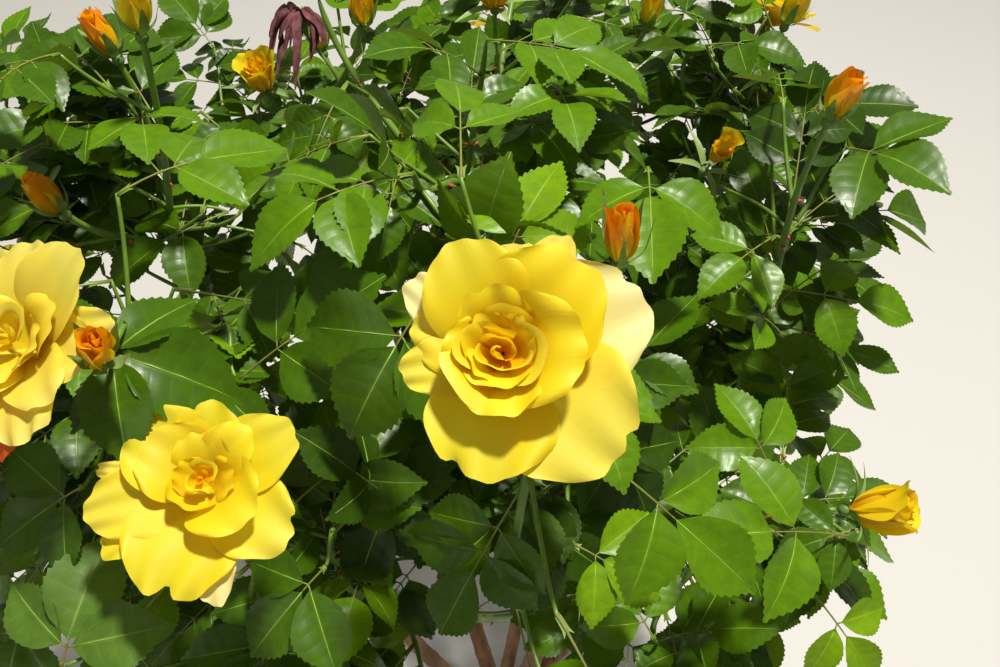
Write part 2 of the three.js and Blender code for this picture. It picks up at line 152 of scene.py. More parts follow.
# %% Directions
UP = np.array([0.0, 0.0, 1.0])
GOLDEN_ANGLE = math.pi * (3 - math.sqrt(5))  # the turn that spreads leaves, tips and petals evenly
ANY_TURN = 6.3  # upper bound of a random turn or phase: once round, in radians


def unit(vector):
    """A vector of length one in the same direction."""
    vector = np.asarray(vector, float)
    return vector / max(np.linalg.norm(vector), 1e-12)


def across(direction, axis):
    """The part of a direction that lies across an axis, as a unit."""
    return unit(direction - np.dot(direction, axis) * axis)


def turned(vector, axis, angle):
    """A vector turned round an axis."""
    cosine, sine = math.cos(angle), math.sin(angle)
    return vector * cosine + np.cross(axis, vector) * sine + axis * np.dot(axis, vector) * (1 - cosine)


def lerp(a, b, share):
    """The value at a share of the way from one to another."""
    return a + (b - a) * share


def compass(angle, lift=0.0):
    """A direction by its turn round +Z from +X, in radians."""
    return np.array([math.cos(angle), math.sin(angle), lift])


# %% Runs
RUN_STEPS = 120


class Run:
    """A smooth line drawn by its pull points and measured along its length."""

    def __init__(self, *pulls):
        self.pulls = np.array(pulls, float)
        self.steps = np.linspace(0, 1, RUN_STEPS + 1)
        points = self.blend(self.pulls, self.steps)
        strides = np.linalg.norm(np.diff(points, axis=0), axis=1)
        self.reached = np.concatenate([[0], np.cumsum(strides)])
        self.length = self.reached[-1]

    @staticmethod
    def blend(pulls, steps):
        """Draws the line: each level blends neighbouring pull points until one is left."""
        steps = np.atleast_1d(steps)[:, None]
        level = list(pulls)
        while len(level) > 1:
            level = [a * (1 - steps) + b * steps for a, b in zip(level, level[1:])]
        return level[0]

    def step_at(self, share):
        """Turns a share of the length into a step of the blend."""
        return np.interp(np.atleast_1d(share) * self.length, self.reached, self.steps)

    def points(self, shares):
        return self.blend(self.pulls, self.step_at(shares))

    def at(self, share):
        return self.points(share)[0]

    def heading(self, share):
        return unit(self.blend(np.diff(self.pulls, axis=0), self.step_at(share))[0])


EASE = 0.36  # how far a run holds its first and last direction, as a share of its span


def bend(start, leaving, end, arriving):
    """A run that leaves one point along a direction and reaches another along its own."""
    pull = np.linalg.norm(end - start) * EASE
    return Run(start, start + leaving * pull, end - arriving * pull, end)


def passing(start, middle, end):
    """A run from one point to another that passes through a third halfway."""
    return Run(start, 2 * np.asarray(middle) - (np.asarray(start) + end) / 2, end)


# %% Tubes
def tube(points, radii, sides):
    """Rings of a few sides along a line, closed at both ends, as corners and triangles. A radius may be
    one number for its ring or one for each side."""
    points = np.asarray(points, float)
    headings = np.gradient(points, axis=0)
    headings /= np.linalg.norm(headings, axis=1)[:, None]
    side = across(np.array([0.31, 0.89, 0.33]), headings[0])
    turns = np.linspace(0, 2 * np.pi, sides, endpoint=False)
    rings = []
    for point, heading, radius in zip(points, headings, radii):
        side = across(side, heading)
        other = np.cross(heading, side)
        out = np.outer(np.cos(turns), side) + np.outer(np.sin(turns), other)
        rings.append(point + out * np.reshape(radius, (-1, 1)))
    corners = np.concatenate(rings)
    first = np.arange(sides)
    after = (first + 1) % sides
    faces = []
    for ring in range(len(points) - 1):
        a, b = first + ring * sides, after + ring * sides
        faces += [np.stack([a, b, b + sides], 1), np.stack([a, b + sides, a + sides], 1)]
    last = (len(points) - 1) * sides
    fan = np.arange(1, sides - 1)
    faces.append(np.stack([0 * fan, fan + 1, fan], 1))
    faces.append(np.stack([0 * fan + last, fan + last, fan + 1 + last], 1))
    return corners, np.concatenate(faces)


def sheet_faces(rows, columns):
    """The triangles of a sheet of corners in rows and columns."""
    corner = np.arange(rows * columns).reshape(rows, columns)
    a, b = corner[:-1, :-1].ravel(), corner[:-1, 1:].ravel()
    c, d = corner[1:, 1:].ravel(), corner[1:, :-1].ravel()
    return np.stack([np.stack([a, b, c], 1), np.stack([a, c, d], 1)], 1).reshape(-1, 3)


# %% Heaps
SPOT = "spot"  # the map that says where on its leaflet or petal a corner is


class Heap:
    """Gathers things of one kind and makes them one mesh."""

    def __init__(self):
        self.corners, self.faces, self.finishes, self.spots, self.count = [], [], [], [], 0

    def add(self, corners, faces, finish=0, spots=None):
        """Adds one thing with its finish and, for the map, the spot of each corner."""
        if spots is not None:
            self.spots.append(spots)
        self.corners.append(corners)
        self.faces.append(faces + self.count)
        self.finishes.append(np.broadcast_to(finish, len(faces)))
        self.count += len(corners)

    def make(self, name, slot, finishes, nodes=()):
        """One joined mesh that rides on the bush and stands for its solids."""
        corners = np.concatenate(self.corners).astype(np.float32)
        faces = np.concatenate(self.faces).astype(np.int32)
        mesh = bpy.data.meshes.new(name)
        mesh.vertices.add(len(corners))
        mesh.vertices.foreach_set("co", corners.ravel())
        mesh.loops.add(faces.size)
        mesh.loops.foreach_set("vertex_index", faces.ravel())
        mesh.polygons.add(len(faces))
        mesh.polygons.foreach_set("loop_start", np.arange(0, faces.size, 3, dtype=np.int32))
        if self.spots:
            spots = np.concatenate(self.spots).astype(np.float32)
            mesh.uv_layers.new(name=SPOT).data.foreach_set("uv", spots[faces.ravel()].ravel())
        for finish in finishes:
            mesh.materials.append(finish)
        mesh.polygons.foreach_set("material_index", np.concatenate(self.finishes).astype(np.int32))
        mesh.polygons.foreach_set("use_smooth", np.full(len(faces), True))
        mesh.update(calc_edges=True)
        mesh.validate()
        piece = bpy.data.objects.new(name, mesh)
        bpy.context.scene.collection.objects.link(piece)
        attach(piece, "root")
        if nodes:
            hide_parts(*nodes)
        print(f"{name}: {len(faces)} triangles")


# %% [markdown]
# ## The limbs, from the solids' own rule
# The solids were grown by a rule: five canes leave the knuckle, fourteen boughs leave the canes, and each
# bough carries one mass of shoots. The same tables and the same rule are written here again, so that bark,
# twigs and leaves grow on from exactly where the solids have them.

# %% Canes and masses
CLEAR = 0.0003  # the air between neighbouring solids
CANE_FOOT = 0.034  # height at which a cane leaves the knuckle
CANES = {
    "front": dict(foot=[0.010, -0.014], middle=[0.044, -0.060, 0.384], top=[0.024, -0.122, 0.640],
                  thick=0.0125, thin=0.0075),
    "left": dict(foot=[-0.018, -0.004], middle=[-0.104, -0.036, 0.330], top=[-0.172, -0.030, 0.590],
                 thick=0.011, thin=0.007),
    "back": dict(foot=[-0.008, 0.016], middle=[-0.066, 0.104, 0.320], top=[-0.104, 0.172, 0.580],
                 thick=0.0115, thin=0.0072),
    "right": dict(foot=[0.018, 0.002], middle=[0.130, 0.006, 0.350], top=[0.196, 0.012, 0.590],
                  thick=0.0105, thin=0.0065),
    "middle": dict(foot=[0.000, 0.004], middle=[0.030, 0.060, 0.350], top=[0.014, 0.070, 0.640],
                   thick=0.0095, thin=0.0062),
}
# mass: cane it grows from, share of the cane where its bough leaves, middle
MASSES = {
    "front": ("front", 1, [0.052, -0.185, 0.985]),
    "front_left": ("front", 0.84, [-0.140, -0.215, 0.905]),
    "front_low": ("left", 0.72, [-0.100, -0.130, 0.715]),
    "left_front": ("left", 1, [-0.262, -0.130, 0.985]),
    "left": ("left", 0.86, [-0.300, 0.062, 0.945]),
    "left_low": ("left", 0.66, [-0.300, -0.020, 0.715]),
    "back_left": ("back", 1, [-0.205, 0.262, 0.930]),
    "back": ("middle", 0.84, [0.000, 0.235, 0.980]),
    "back_low": ("back", 0.72, [-0.110, 0.320, 0.690]),
    "back_right": ("right", 0.84, [0.200, 0.225, 0.905]),
    "right": ("right", 1, [0.216, 0.005, 0.990]),
    "right_front": ("right", 0.72, [0.196, -0.160, 0.880]),
    "right_low": ("middle", 0.62, [0.150, 0.140, 0.700]),
    "top": ("middle", 1, [-0.048, 0.010, 1.010]),
}

# %% Flowers
# name, mass, kind, place, way it faces
FLOWERS = [
    ("bloom_a", "front", "open", [0.009, -0.243, 1.130], [-0.08, -0.52, 0.85]),
    ("bud_f", "front", "bud", [0.058, -0.160, 1.122], [-0.05, 0.1, 0.99]),
    ("bloom_b", "front_left", "open", [-0.153, -0.254, 1.030], [0.04, -0.36, 0.93]),
    ("bloom_c", "left_front", "open", [-0.224, -0.203, 1.104], [-0.22, -0.42, 0.88]),
    ("bud_g", "left_front", "bud", [-0.176, -0.196, 1.128], [0.25, -0.3, 0.92]),
    ("bud_i", "left", "bud", [-0.256, 0.047, 1.100], [-0.3, 0.1, 0.95]),
    ("bud_j", "left", "bud", [-0.218, 0.022, 1.134], [0.02, 0.1, 0.99]),
    ("bud_h", "left", "bud", [-0.293, -0.032, 1.033], [-0.35, -0.05, 0.93]),
    ("cup_k", "back_left", "halfOpen", [-0.208, 0.224, 0.960], [-0.1, -0.3, 0.95]),
    ("bud_l", "back_left", "bud", [-0.114, 0.221, 1.011], [0.1, 0, 0.99]),
    ("cup_n", "back", "halfOpen", [-0.004, 0.190, 1.046], [0, -0.2, 0.98]),
    ("bud_o", "back", "bud", [0.118, 0.176, 1.039], [0.1, -0.1, 0.99]),
    ("bud_p", "back_right", "bud", [0.245, 0.223, 1.012], [0.3, 0.1, 0.95]),
    ("bud_d", "right", "bud", [0.195, -0.042, 1.117], [0.15, -0.05, 0.98]),
    ("cup_e", "right_front", "halfOpen", [0.236, -0.199, 0.924], [0.86, -0.24, 0.46]),
    ("bloom_left", "left_low", "open", [-0.410, 0.020, 0.880], [-0.7, -0.1, 0.7]),
    ("bloom_back", "back_low", "open", [-0.060, 0.420, 0.880], [0.1, 0.6, 0.79]),
    ("bud_back", "back_low", "bud", [-0.190, 0.385, 0.880], [-0.3, 0.4, 0.86]),
    ("bloom_right", "back_right", "open", [0.255, 0.310, 0.960], [0.4, 0.5, 0.77]),
    ("cup_right", "right_low", "halfOpen", [0.300, 0.150, 0.860], [0.7, 0.2, 0.68]),
]
FACING = {name: faces for name, _, _, _, faces in FLOWERS}
OUT_OF_PICTURE = ("bloom_left", "bloom_back", "bud_back", "bloom_right", "cup_right")
# where the photograph shows the hearts of the three large blooms: x, y and depth
HEARTS = dict(bloom_a=(500, 352, 0.407), bloom_b=(200, 479, 0.474), bloom_c=(5, 338, 0.452))
BLOOM_SINK = dict(bloom_a=0.024, bloom_b=0.020, bloom_c=0.020)  # from heart to hip
# small flowers that the photograph shows a little beside their solids
MOVED = dict(bud_g=(96, 346, 0.437), cup_k=(259, 74, 0.845))
# a small flower among leaves, and the head of the spent one
HALF_HIDDEN = (719, 153, 0.72)
SPENT_AT = (300, 12, 0.83)
BLOOM_WIDTH = dict(open=0.106, halfOpen=0.056, bud=0.023)
FOOT_DEPTH = dict(open=0.24, halfOpen=0.52, bud=0.52)  # from head to foot, as a share of the width
HIP_WIDE, HIP_LONG = 0.0042, 0.008

# %% Cane and bough runs
cane_runs = {name: passing(np.array([*cane["foot"], CANE_FOOT]), cane["middle"], cane["top"])
             for name, cane in CANES.items()}

# share of the way that a bough grows to its mass's middle, drop of its tip and rise of its aim,
# and how far it turns away from its cane where it forks
BOUGH = dict(thick=0.0052, thin=0.0034, share=0.7, sag=0.024, rise=0.060, branching=0.7)


def bough_run(parent, share, middle):
    """A bough goes on from its cane's top or leaves its side, and ends below the middle of its mass."""
    start = cane_runs[parent].at(share)
    leaving = cane_runs[parent].heading(share)
    goal = np.array(middle)
    if share == 1:
        start = start + leaving * CLEAR
    else:
        level = goal - start
        level[2] = 0
        leaving = unit(leaving + BOUGH["branching"] * unit(level))
    tip = lerp(start, goal, BOUGH["share"]) - BOUGH["sag"] * UP
    return bend(start, leaving, tip, unit(goal + BOUGH["rise"] * UP - tip))


bough_runs = {name: bough_run(*mass) for name, mass in MASSES.items()}
print("boughs, metres in all:", round(sum(run.length for run in bough_runs.values()), 2))

# %% [markdown]
# ## Stems and leafy twigs
# Each mass has one stem that ends in its first flower, and a twig to every other flower and leafy tip. The
# leafy tips are spread evenly over a dome by the golden angle. A twig that would touch another limb is left
# out, as it is in the solids.

# %% The crown's dome
CROWN = np.array([-0.060, 0.050, 0.830])
REACH, RISE_UP, DOWN_FRONT, DOWN_BACK = 0.440, 0.350, 0.230, 0.350  # to the outline, from the middle
# number of leafy tips, how far out they lie, height of the lowest, and their distance from a flower
TIPS = dict(count=46, depth=0.76, lowest=-0.72, clear=0.088)
RAY = 0.001  # a short step, to learn how far away the outline is


def dome_share(point):
    """How far a point lies from the crown's middle, as a share of the way to its outline."""
    x, y, z = np.asarray(point) - CROWN
    front = min(max(0.5 - 0.5 * y / REACH, 0), 1)
    down = lerp(DOWN_BACK, DOWN_FRONT, front)
    return math.hypot(x / REACH, y / REACH, z / (RISE_UP if z > 0 else down))


mass_names = list(MASSES)
mass_middles = np.array([MASSES[name][2] for name in mass_names])
flower_heads = np.array([at for _, _, _, at, _ in FLOWERS])


def nearest_mass(point):
    """The mass whose middle is nearest to a point."""
    return mass_names[int(np.argmin(np.linalg.norm(mass_middles - point, axis=1)))]


def leafy_tips():
    """Points spread over a dome inside the crown's outline, none close to a flower."""
    found = []
    for i in range(TIPS["count"]):
        height = lerp(1, TIPS["lowest"], (i + 0.5) / TIPS["count"])
        flat = math.sqrt(1 - height * height)
        ray = (flat * compass(i * GOLDEN_ANGLE) + height * UP) * RAY
        tip = CROWN + ray * TIPS["depth"] / dome_share(CROWN + ray)
        if np.linalg.norm(flower_heads - tip, axis=1).min() > TIPS["clear"]:
            found.append(tip)
    return found


# %% Shoots
STEM = dict(thick=0.0034, thin=0.0022)
# the twigs leave the stem between two shares of it, and turn up at their tips
TWIG = dict(thick=0.0034, thin=0.0026, first=0.14, last=0.72, rise=0.9)
TOUCH_STEPS = 30


def touches(run, size, others):
    """Whether a shoot touches any limb or earlier shoot."""
    shares = np.linspace(0, 1, TOUCH_STEPS)
    points = run.points(shares)
    radii = lerp(size["thick"], size["thin"], shares)
    for other_points, other_radii in others:
        gaps = np.linalg.norm(points[:, None] - other_points, axis=2) - radii[:, None] - other_radii
        if gaps.min() < 0:
            return True
    return False


def measured(run, size):
    """Points along a limb and its radius at each, to test other limbs against."""
    shares = np.linspace(0, 1, 2 * TOUCH_STEPS)
    return run.points(shares), lerp(size["thick"], size["thin"], shares)


def shoots_of(mass, tips, others):
    """A main stem on from the bough, and a twig to each other flower and leafy tip."""
    heading = bough_runs[mass].heading(1)
    start = bough_runs[mass].at(1) + heading * CLEAR
    ends = []
    for name, own, kind, at, faces in FLOWERS:
        if own == mass:
            facing = unit(faces)
            foot = np.array(at) - facing * BLOOM_WIDTH[kind] * FOOT_DEPTH[kind]
            ends.append(dict(flower=(name, kind), to=foot, facing=facing))
    for tip in tips:
        ends.append(dict(flower=None, to=tip, facing=unit(unit(tip - CROWN) + TWIG["rise"] * UP)))
    free = [end for end in ends if not touches(bend(start, heading, end["to"], end["facing"]), STEM, others)]
    main = free[0]
    stem = bend(start, heading, main["to"], main["facing"])
    grown = [dict(main, run=stem, size=STEM, mass=mass)]
    rest = [end for end in ends if end is not main]
    for i, end in enumerate(rest):
        share = lerp(TWIG["first"], TWIG["last"], (i + 0.5) / len(rest))
        leaving = unit(stem.heading(share) + unit(end["to"] - stem.at(share)))
        run = bend(stem.at(share), leaving, end["to"], end["facing"])
        if not touches(run, TWIG, others):
            grown.append(dict(end, run=run, size=TWIG, mass=mass))
    return grown


all_tips = leafy_tips()
taken = {f"cane_{name}": measured(run, CANES[name]) for name, run in cane_runs.items()}
taken |= {f"bough_{name}": measured(run, BOUGH) for name, run in bough_runs.items()}
shoots = []
for mass in mass_names:
    own_tips = [tip for tip in all_tips if nearest_mass(tip) == mass]
    others = [limb for name, limb in taken.items() if name != f"bough_{mass}"]
    grown = shoots_of(mass, own_tips, others)
    for i, shoot in enumerate(grown):
        taken[f"shoot_{mass}_{i}"] = measured(shoot["run"], shoot["size"])
    shoots += grown
print(len(shoots), "shoots,", len(all_tips), "leafy tips")

# %% [markdown]
# ## Finishes
# Every surface of a plant is mottled. One node group makes that mottle: a fine noise deals out two colours,
# a roughness and a height, and each finish gives it its own values. The shader itself stays in each finish,
# so that gloss and the light that shines through a leaf can be set for it.

# %% Nodes in short
NUMBER, COLOUR, VECTOR = "NodeSocketFloat", "NodeSocketColor", "NodeSocketVector"


def paint(red, green, blue):
    """A colour as a screen shows it, 0 to 255, as the linear colour that a shader wants."""
    shares = [value / 255 for value in (red, green, blue)]
    return [value / 12.92 if value < 0.04045 else ((value + 0.055) / 1.055) ** 2.4 for value in shares] + [1]


def new_group(name, takes, gives):
    """A node group with its sockets, and nothing in it yet."""
    group = bpy.data.node_groups.new(name, "ShaderNodeTree")
    for side, sockets in (("INPUT", takes), ("OUTPUT", gives)):
        for socket, kind in sockets.items():
            group.interface.new_socket(socket, in_out=side, socket_type=kind)
    return group


def feed(tree, node, inputs):
    """Gives a node's inputs plain values, or links them to the outputs of other nodes."""
    for name, value in inputs.items():
        if isinstance(value, bpy.types.NodeSocket):
            tree.links.new(value, node.inputs[name])
        else:
            node.inputs[name].default_value = value


def add_node(tree, kind, inputs, **settings):
    """A new node with its settings and inputs. Gives its outputs."""
    node = tree.nodes.new(kind)
    for name, setting in settings.items():
        setattr(node, name, setting)
    feed(tree, node, inputs)
    return node.outputs


def number(tree, operation, first, second=0.0):
    """One step of arithmetic."""
    return add_node(tree, "ShaderNodeMath", {0: first, 1: second}, operation=operation)["Value"]


def between(tree, value, low, high, first, last, easing="SMOOTHSTEP"):
    """Maps a value from one range to another, within bounds."""
    ranges = {"Value": value, "From Min": low, "From Max": high, "To Min": first, "To Max": last}
    return add_node(tree, "ShaderNodeMapRange", ranges, interpolation_type=easing)["Result"]


def mixed(tree, share, first, second):
    """A colour at a share of the way from one to another."""
    return add_node(tree, "ShaderNodeMix", dict(Factor=share, A=first, B=second), data_type="RGBA")["Result"]


# %% A mottle that every finish shares
def mottle_group():
    """Two colours, a roughness and a height that one noise deals out. The noise may be stretched."""
    takes = dict(Light=COLOUR, Dark=COLOUR, Scale=NUMBER, Stretch=VECTOR, Smooth=NUMBER, Rough=NUMBER)
    tree = new_group("mottle", takes, dict(Colour=COLOUR, Roughness=NUMBER, Height=NUMBER))
    given, made = tree.nodes.new("NodeGroupInput").outputs, tree.nodes.new("NodeGroupOutput")
    where = add_node(tree, "ShaderNodeTexCoord", {})["Object"]
    stretched = add_node(tree, "ShaderNodeVectorMath", {0: where, 1: given["Stretch"]}, operation="MULTIPLY")
    grain = dict(Vector=stretched["Vector"], Scale=given["Scale"], Detail=4, Roughness=0.6)
    noise = add_node(tree, "ShaderNodeTexNoise", grain)
    spread = between(tree, noise["Fac"], 0.32, 0.68, 0, 1, "LINEAR")
    sheen = between(tree, spread, 0, 1, given["Rough"], given["Smooth"], "LINEAR")
    colour = mixed(tree, spread, given["Dark"], given["Light"])
    feed(tree, made, dict(Colour=colour, Roughness=sheen, Height=spread))
    return tree


MOTTLE = mottle_group()

# %% The veins of a leaflet
BLADE_ROWS = 13
VEINS = (BLADE_ROWS - 1) / 2  # on each side of the rib


def spot_parts(tree):
    """The two numbers of the map that says where on its leaflet or petal a point is."""
    place_map = add_node(tree, "ShaderNodeUVMap", {}, uv_map=SPOT)["UV"]
    parts = add_node(tree, "ShaderNodeSeparateXYZ", dict(Vector=place_map))
    return parts["X"], parts["Y"]


def vein_group():
    """Pale sunken veins and the swellings between them: a mask and a height."""
    tree = new_group("veins", {}, dict(Mask=NUMBER, Height=NUMBER))
    out, along = spot_parts(tree)
    between_veins = number(tree, "FRACT", number(tree, "MULTIPLY", along, VEINS))
    gap = number(tree, "ABSOLUTE", number(tree, "SUBTRACT", between_veins, 0.5))
    inside = between(tree, out, 0.7, 0.95, 1, 0)
    side_veins = number(tree, "MULTIPLY", between(tree, gap, 0.02, 0.1, 1, 0), inside)
    rib = between(tree, out, 0.02, 0.1, 1, 0)
    mask = number(tree, "MAXIMUM", number(tree, "MULTIPLY", side_veins, 0.35), rib)
    swelling = number(tree, "MULTIPLY", between(tree, gap, 0.0, 0.5, 0, 1), inside)
    height = number(tree, "SUBTRACT", swelling, number(tree, "MULTIPLY", mask, 0.5))
    feed(tree, tree.nodes.new("NodeGroupOutput"), dict(Mask=mask, Height=height))
    return tree


VEIN_PATTERN = vein_group()

# %% The fade of a petal
# share of the fade, colour: from the red of a bud's back, through gold, to cream
PETAL_STOPS = [(0.0, (196, 50, 8)), (0.11, (220, 78, 6)), (0.22, (232, 108, 2)), (0.33, (236, 138, 0)),
               (0.44, (244, 172, 0)), (0.55, (240, 196, 2)), (0.66, (234, 209, 8)), (0.77, (228, 213, 28)),
               (0.88, (229, 215, 80)), (1.0, (232, 221, 150))]
LAST_TONE = len(PETAL_STOPS) - 1


def fade_group():
    """A petal's colour from the first number of its map, with faint lines that run along it."""
    tree = new_group("petal_fade", {}, dict(Colour=COLOUR, Height=NUMBER))
    tone, out = spot_parts(tree)
    lines = add_node(tree, "ShaderNodeTexNoise", dict(W=out, Scale=34, Detail=3), noise_dimensions="1D")
    line = between(tree, lines["Fac"], 0.35, 0.65, 0, 1)
    shift = number(tree, "MULTIPLY", number(tree, "SUBTRACT", line, 0.5), 0.006)
    stops = tree.nodes.new("ShaderNodeValToRGB")
    feed(tree, stops, dict(Fac=number(tree, "ADD", tone, shift)))
    elements = stops.color_ramp.elements
    while len(elements) < len(PETAL_STOPS):
        elements.new(0.5)
    for element, (share, colour) in zip(elements, PETAL_STOPS):
        element.position, element.color = share, paint(*colour)
    feed(tree, tree.nodes.new("NodeGroupOutput"), dict(Colour=stops.outputs["Color"], Height=line))
    return tree


FADE = fade_group()


# %% A finish from its values
def finish(name, light, dark, scale, smooth, rough, relief, stretch=(1, 1, 1), through=0.0, glow=(0, 0, 0),
           glow_share=1.0, under=None, vein=None, fade=False):
    """A finish: its two colours, the fineness of its mottle, its roughness from smooth to rough, its relief
    and the stretch of the mottle. Leaves and petals also have the share of light that shines through them,
    its colour and how far that colour takes the place of the surface's. A leaf has a colour for its
    underside and one for its veins, and on a petal the fade takes the place of the two colours."""
    made = bpy.data.materials.new(name)
    made.use_nodes = True
    tree = made.node_tree
    shader, out = tree.nodes["Principled BSDF"], tree.nodes["Material Output"]
    values = dict(Light=paint(*light), Dark=paint(*dark), Scale=scale, Stretch=stretch, Smooth=smooth,
                  Rough=rough)
    mottle = add_node(tree, "ShaderNodeGroup", values, node_tree=MOTTLE)
    colour, height = mottle["Colour"], mottle["Height"]
    if vein:
        veins = add_node(tree, "ShaderNodeGroup", {}, node_tree=VEIN_PATTERN)
        colour = mixed(tree, number(tree, "MULTIPLY", veins["Mask"], 0.4), colour, paint(*vein))
        height = number(tree, "ADD", veins["Height"], number(tree, "MULTIPLY", height, 0.3))
        shader.inputs["Specular IOR Level"].default_value = 0.26
    if fade:
        petal_fade = add_node(tree, "ShaderNodeGroup", {}, node_tree=FADE)
        colour, height = petal_fade["Colour"], petal_fade["Height"]
    if under:
        turned_up = add_node(tree, "ShaderNodeNewGeometry", {})["Backfacing"]
        colour = mixed(tree, turned_up, colour, paint(*under))
    bump = add_node(tree, "ShaderNodeBump", dict(Distance=relief, Strength=0.7, Height=height))
    feed(tree, shader, {"Base Color": colour, "Roughness": mottle["Roughness"], "Normal": bump["Normal"]})
    if through:
        lit = mixed(tree, glow_share, colour, paint(*glow))
        clear = add_node(tree, "ShaderNodeBsdfTranslucent", dict(Color=lit))
        parts = {0: through, 1: shader.outputs["BSDF"], 2: clear["BSDF"]}
        feed(tree, out, dict(Surface=add_node(tree, "ShaderNodeMixShader", parts)["Shader"]))
    return made


# name, light, dark, fineness of the mottle, roughness where it is smooth and rough, relief, stretch
BARK = finish("bark_brown", (158, 118, 82), (96, 66, 44), 46, 0.6, 0.85, 0.0008, (1, 1, 0.12))
KNUCKLE = finish("bark_knuckle", (140, 108, 80), (78, 56, 40), 70, 0.7, 0.9, 0.0012, (1, 1, 0.6))
GREEN_WOOD = finish("green_wood", (112, 142, 52), (84, 112, 40), 90, 0.35, 0.5, 0.0002, (1, 1, 0.3))
GREEN_SHOOT = finish("green_shoot", (106, 138, 44), (84, 114, 34), 120, 0.35, 0.5, 0.0001, (1, 1, 0.4))
LEAF_STALK = finish("leaf_stalk", (110, 136, 46), (110, 98, 44), 40, 0.4, 0.55, 0.0001)
PRICKLE = finish("prickle_red", (168, 70, 48), (120, 44, 34), 200, 0.3, 0.45, 0.0001)
SEPAL = finish("sepal_green", (104, 140, 52), (74, 104, 40), 150, 0.45, 0.65, 0.0001,
               through=0.15, glow=(120, 160, 50), under=(124, 148, 82))
RIB = finish("leaf_rib", (136, 166, 62), (112, 144, 46), 150, 0.35, 0.5, 0.0001)
WITHERED = finish("withered", (116, 60, 62), (64, 32, 38), 150, 0.7, 0.9, 0.0004)

# %% Leaf tints
# The first four tints run from deep to lit: the leaves' own tones with painted light and painted shade on
# top.
LEAF_TINTS = []
UNDERSIDE_PALE, UNDERSIDE_SHARE = 150, 0.45  # the underside is this share of the way to a pale grey
# name, light, dark, colour of the light that shines through, veins, roughness where it is smooth
for name, light, dark, glow, vein, gloss in [
    ("leaf_deep", (47, 73, 8), (38, 61, 6), (90, 126, 4), (70, 100, 20), 0.3),
    ("leaf_mid", (64, 97, 8), (52, 82, 6), (116, 152, 4), (88, 122, 22), 0.28),
    ("leaf_fresh", (87, 125, 8), (72, 108, 6), (142, 176, 4), (112, 144, 24), 0.28),
    ("leaf_lit", (110, 148, 10), (93, 128, 8), (164, 194, 6), (136, 162, 30), 0.3),
    ("leaf_soft", (78, 108, 30), (64, 94, 24), (120, 160, 24), (110, 140, 54), 0.5),
]:
    under = tuple(lerp(value, UNDERSIDE_PALE, UNDERSIDE_SHARE) for value in light)
    LEAF_TINTS.append(finish(name, light, dark, 130, gloss, gloss + 0.14, 0.00018, through=0.2, glow=glow,
                             under=under, vein=vein))

# %% Petal finishes
GOLD = (250, 200, 0)
PETAL = finish("petal", GOLD, GOLD, 55, 0.5, 0.62, 0.000025, through=0.42, glow=(250, 196, 4),
               glow_share=0.5, fade=True)
BUD_PETAL = finish("bud_petal", GOLD, GOLD, 55, 0.36, 0.5, 0.00004, through=0.34, glow_share=0.0, fade=True)
print(len(bpy.data.materials), "finishes")

# %% [markdown]
# ## Knuckle and canes
# A garden rose is grafted: its canes rise from one lumpy knuckle at ground level. The old wood is brown,
# with long shallow fissures and rings where leaves once stood. Both are tubes with many sides, whose radii
# are changed a little from side to side, so the relief is real and the outline stays that of the solids.

# %% Bark relief
rng = np.random.default_rng(11)


def fissures(rings, sides, depth, waves=9):
    """Long ridges that wander round a limb, as shares of its radius for each ring and side."""
    along = np.linspace(0, 1, rings)[:, None]
    turns = np.linspace(0, 2 * np.pi, sides, endpoint=False)[None]
    relief = np.zeros((rings, sides))
    for _ in range(waves):
        lobes, twists = rng.integers(2, 8), rng.uniform(-7, 7)
        relief += np.sin(lobes * turns + 3 * twists * along + rng.uniform(0, ANY_TURN)) / waves
        relief += np.sin(rng.uniform(20, 60) * along + rng.integers(1, 4) * turns) / waves / 3
    return 1 + depth * relief


def swellings(rings, count, height, width=0.006):
    """Low rings along a limb where leaves stand or stood."""
    along = np.linspace(0, 1, rings)
    at = (np.arange(count) + 0.5) / count
    return 1 + height * np.exp(-(((along[:, None] - at) / width) ** 2)).sum(1)


bark = Heap()
KNUCKLE_FLARE, KNUCKLE_HEIGHT = 0.044, 0.062
KNUCKLE_PROFILE = [(1, 0), (0.93, 0.14), (0.68, 0.4), (0.7, 0.72), (0.42, 0.95), (0.02, 1.0)]  # out, up
KNUCKLE_RINGS, KNUCKLE_SIDES = 30, 60

shares, profile_shares = [np.linspace(0, 1, count) for count in (KNUCKLE_RINGS, len(KNUCKLE_PROFILE))]
outs, ups = [np.interp(shares, profile_shares, part) for part in zip(*KNUCKLE_PROFILE)]
turns = np.linspace(0, 2 * np.pi, KNUCKLE_SIDES, endpoint=False)
lobes = 1 + 0.08 * np.cos(5 * turns + 0.1)
radii = outs[:, None] * KNUCKLE_FLARE * lobes * fissures(KNUCKLE_RINGS, KNUCKLE_SIDES, depth=0.07)
bark.add(*tube(np.outer(ups * KNUCKLE_HEIGHT, UP), radii, KNUCKLE_SIDES), 1)

# %% Canes
CANE_RINGS, CANE_SIDES = 130, 20
for name, cane in CANES.items():
    shares = np.linspace(0, 1, CANE_RINGS)
    radii = lerp(cane["thick"], cane["thin"], shares) * swellings(CANE_RINGS, count=11, height=0.09)
    radii = radii[:, None] * fissures(CANE_RINGS, CANE_SIDES, depth=0.05)
    bark.add(*tube(cane_runs[name].points(shares), radii, CANE_SIDES), 0)
bark.make("bark", "bark", [BARK, KNUCKLE], ["knuckle"] + [f"cane_{name}" for name in CANES])

# %% [markdown]
# ## Boughs, stems, twigs and prickles
# Younger wood is green and smooth, with a low ring at each leaf joint. Every limb carries hooked prickles
# that point a little down. Short sprigs leave the shoots between the leaves, and fill the crown.

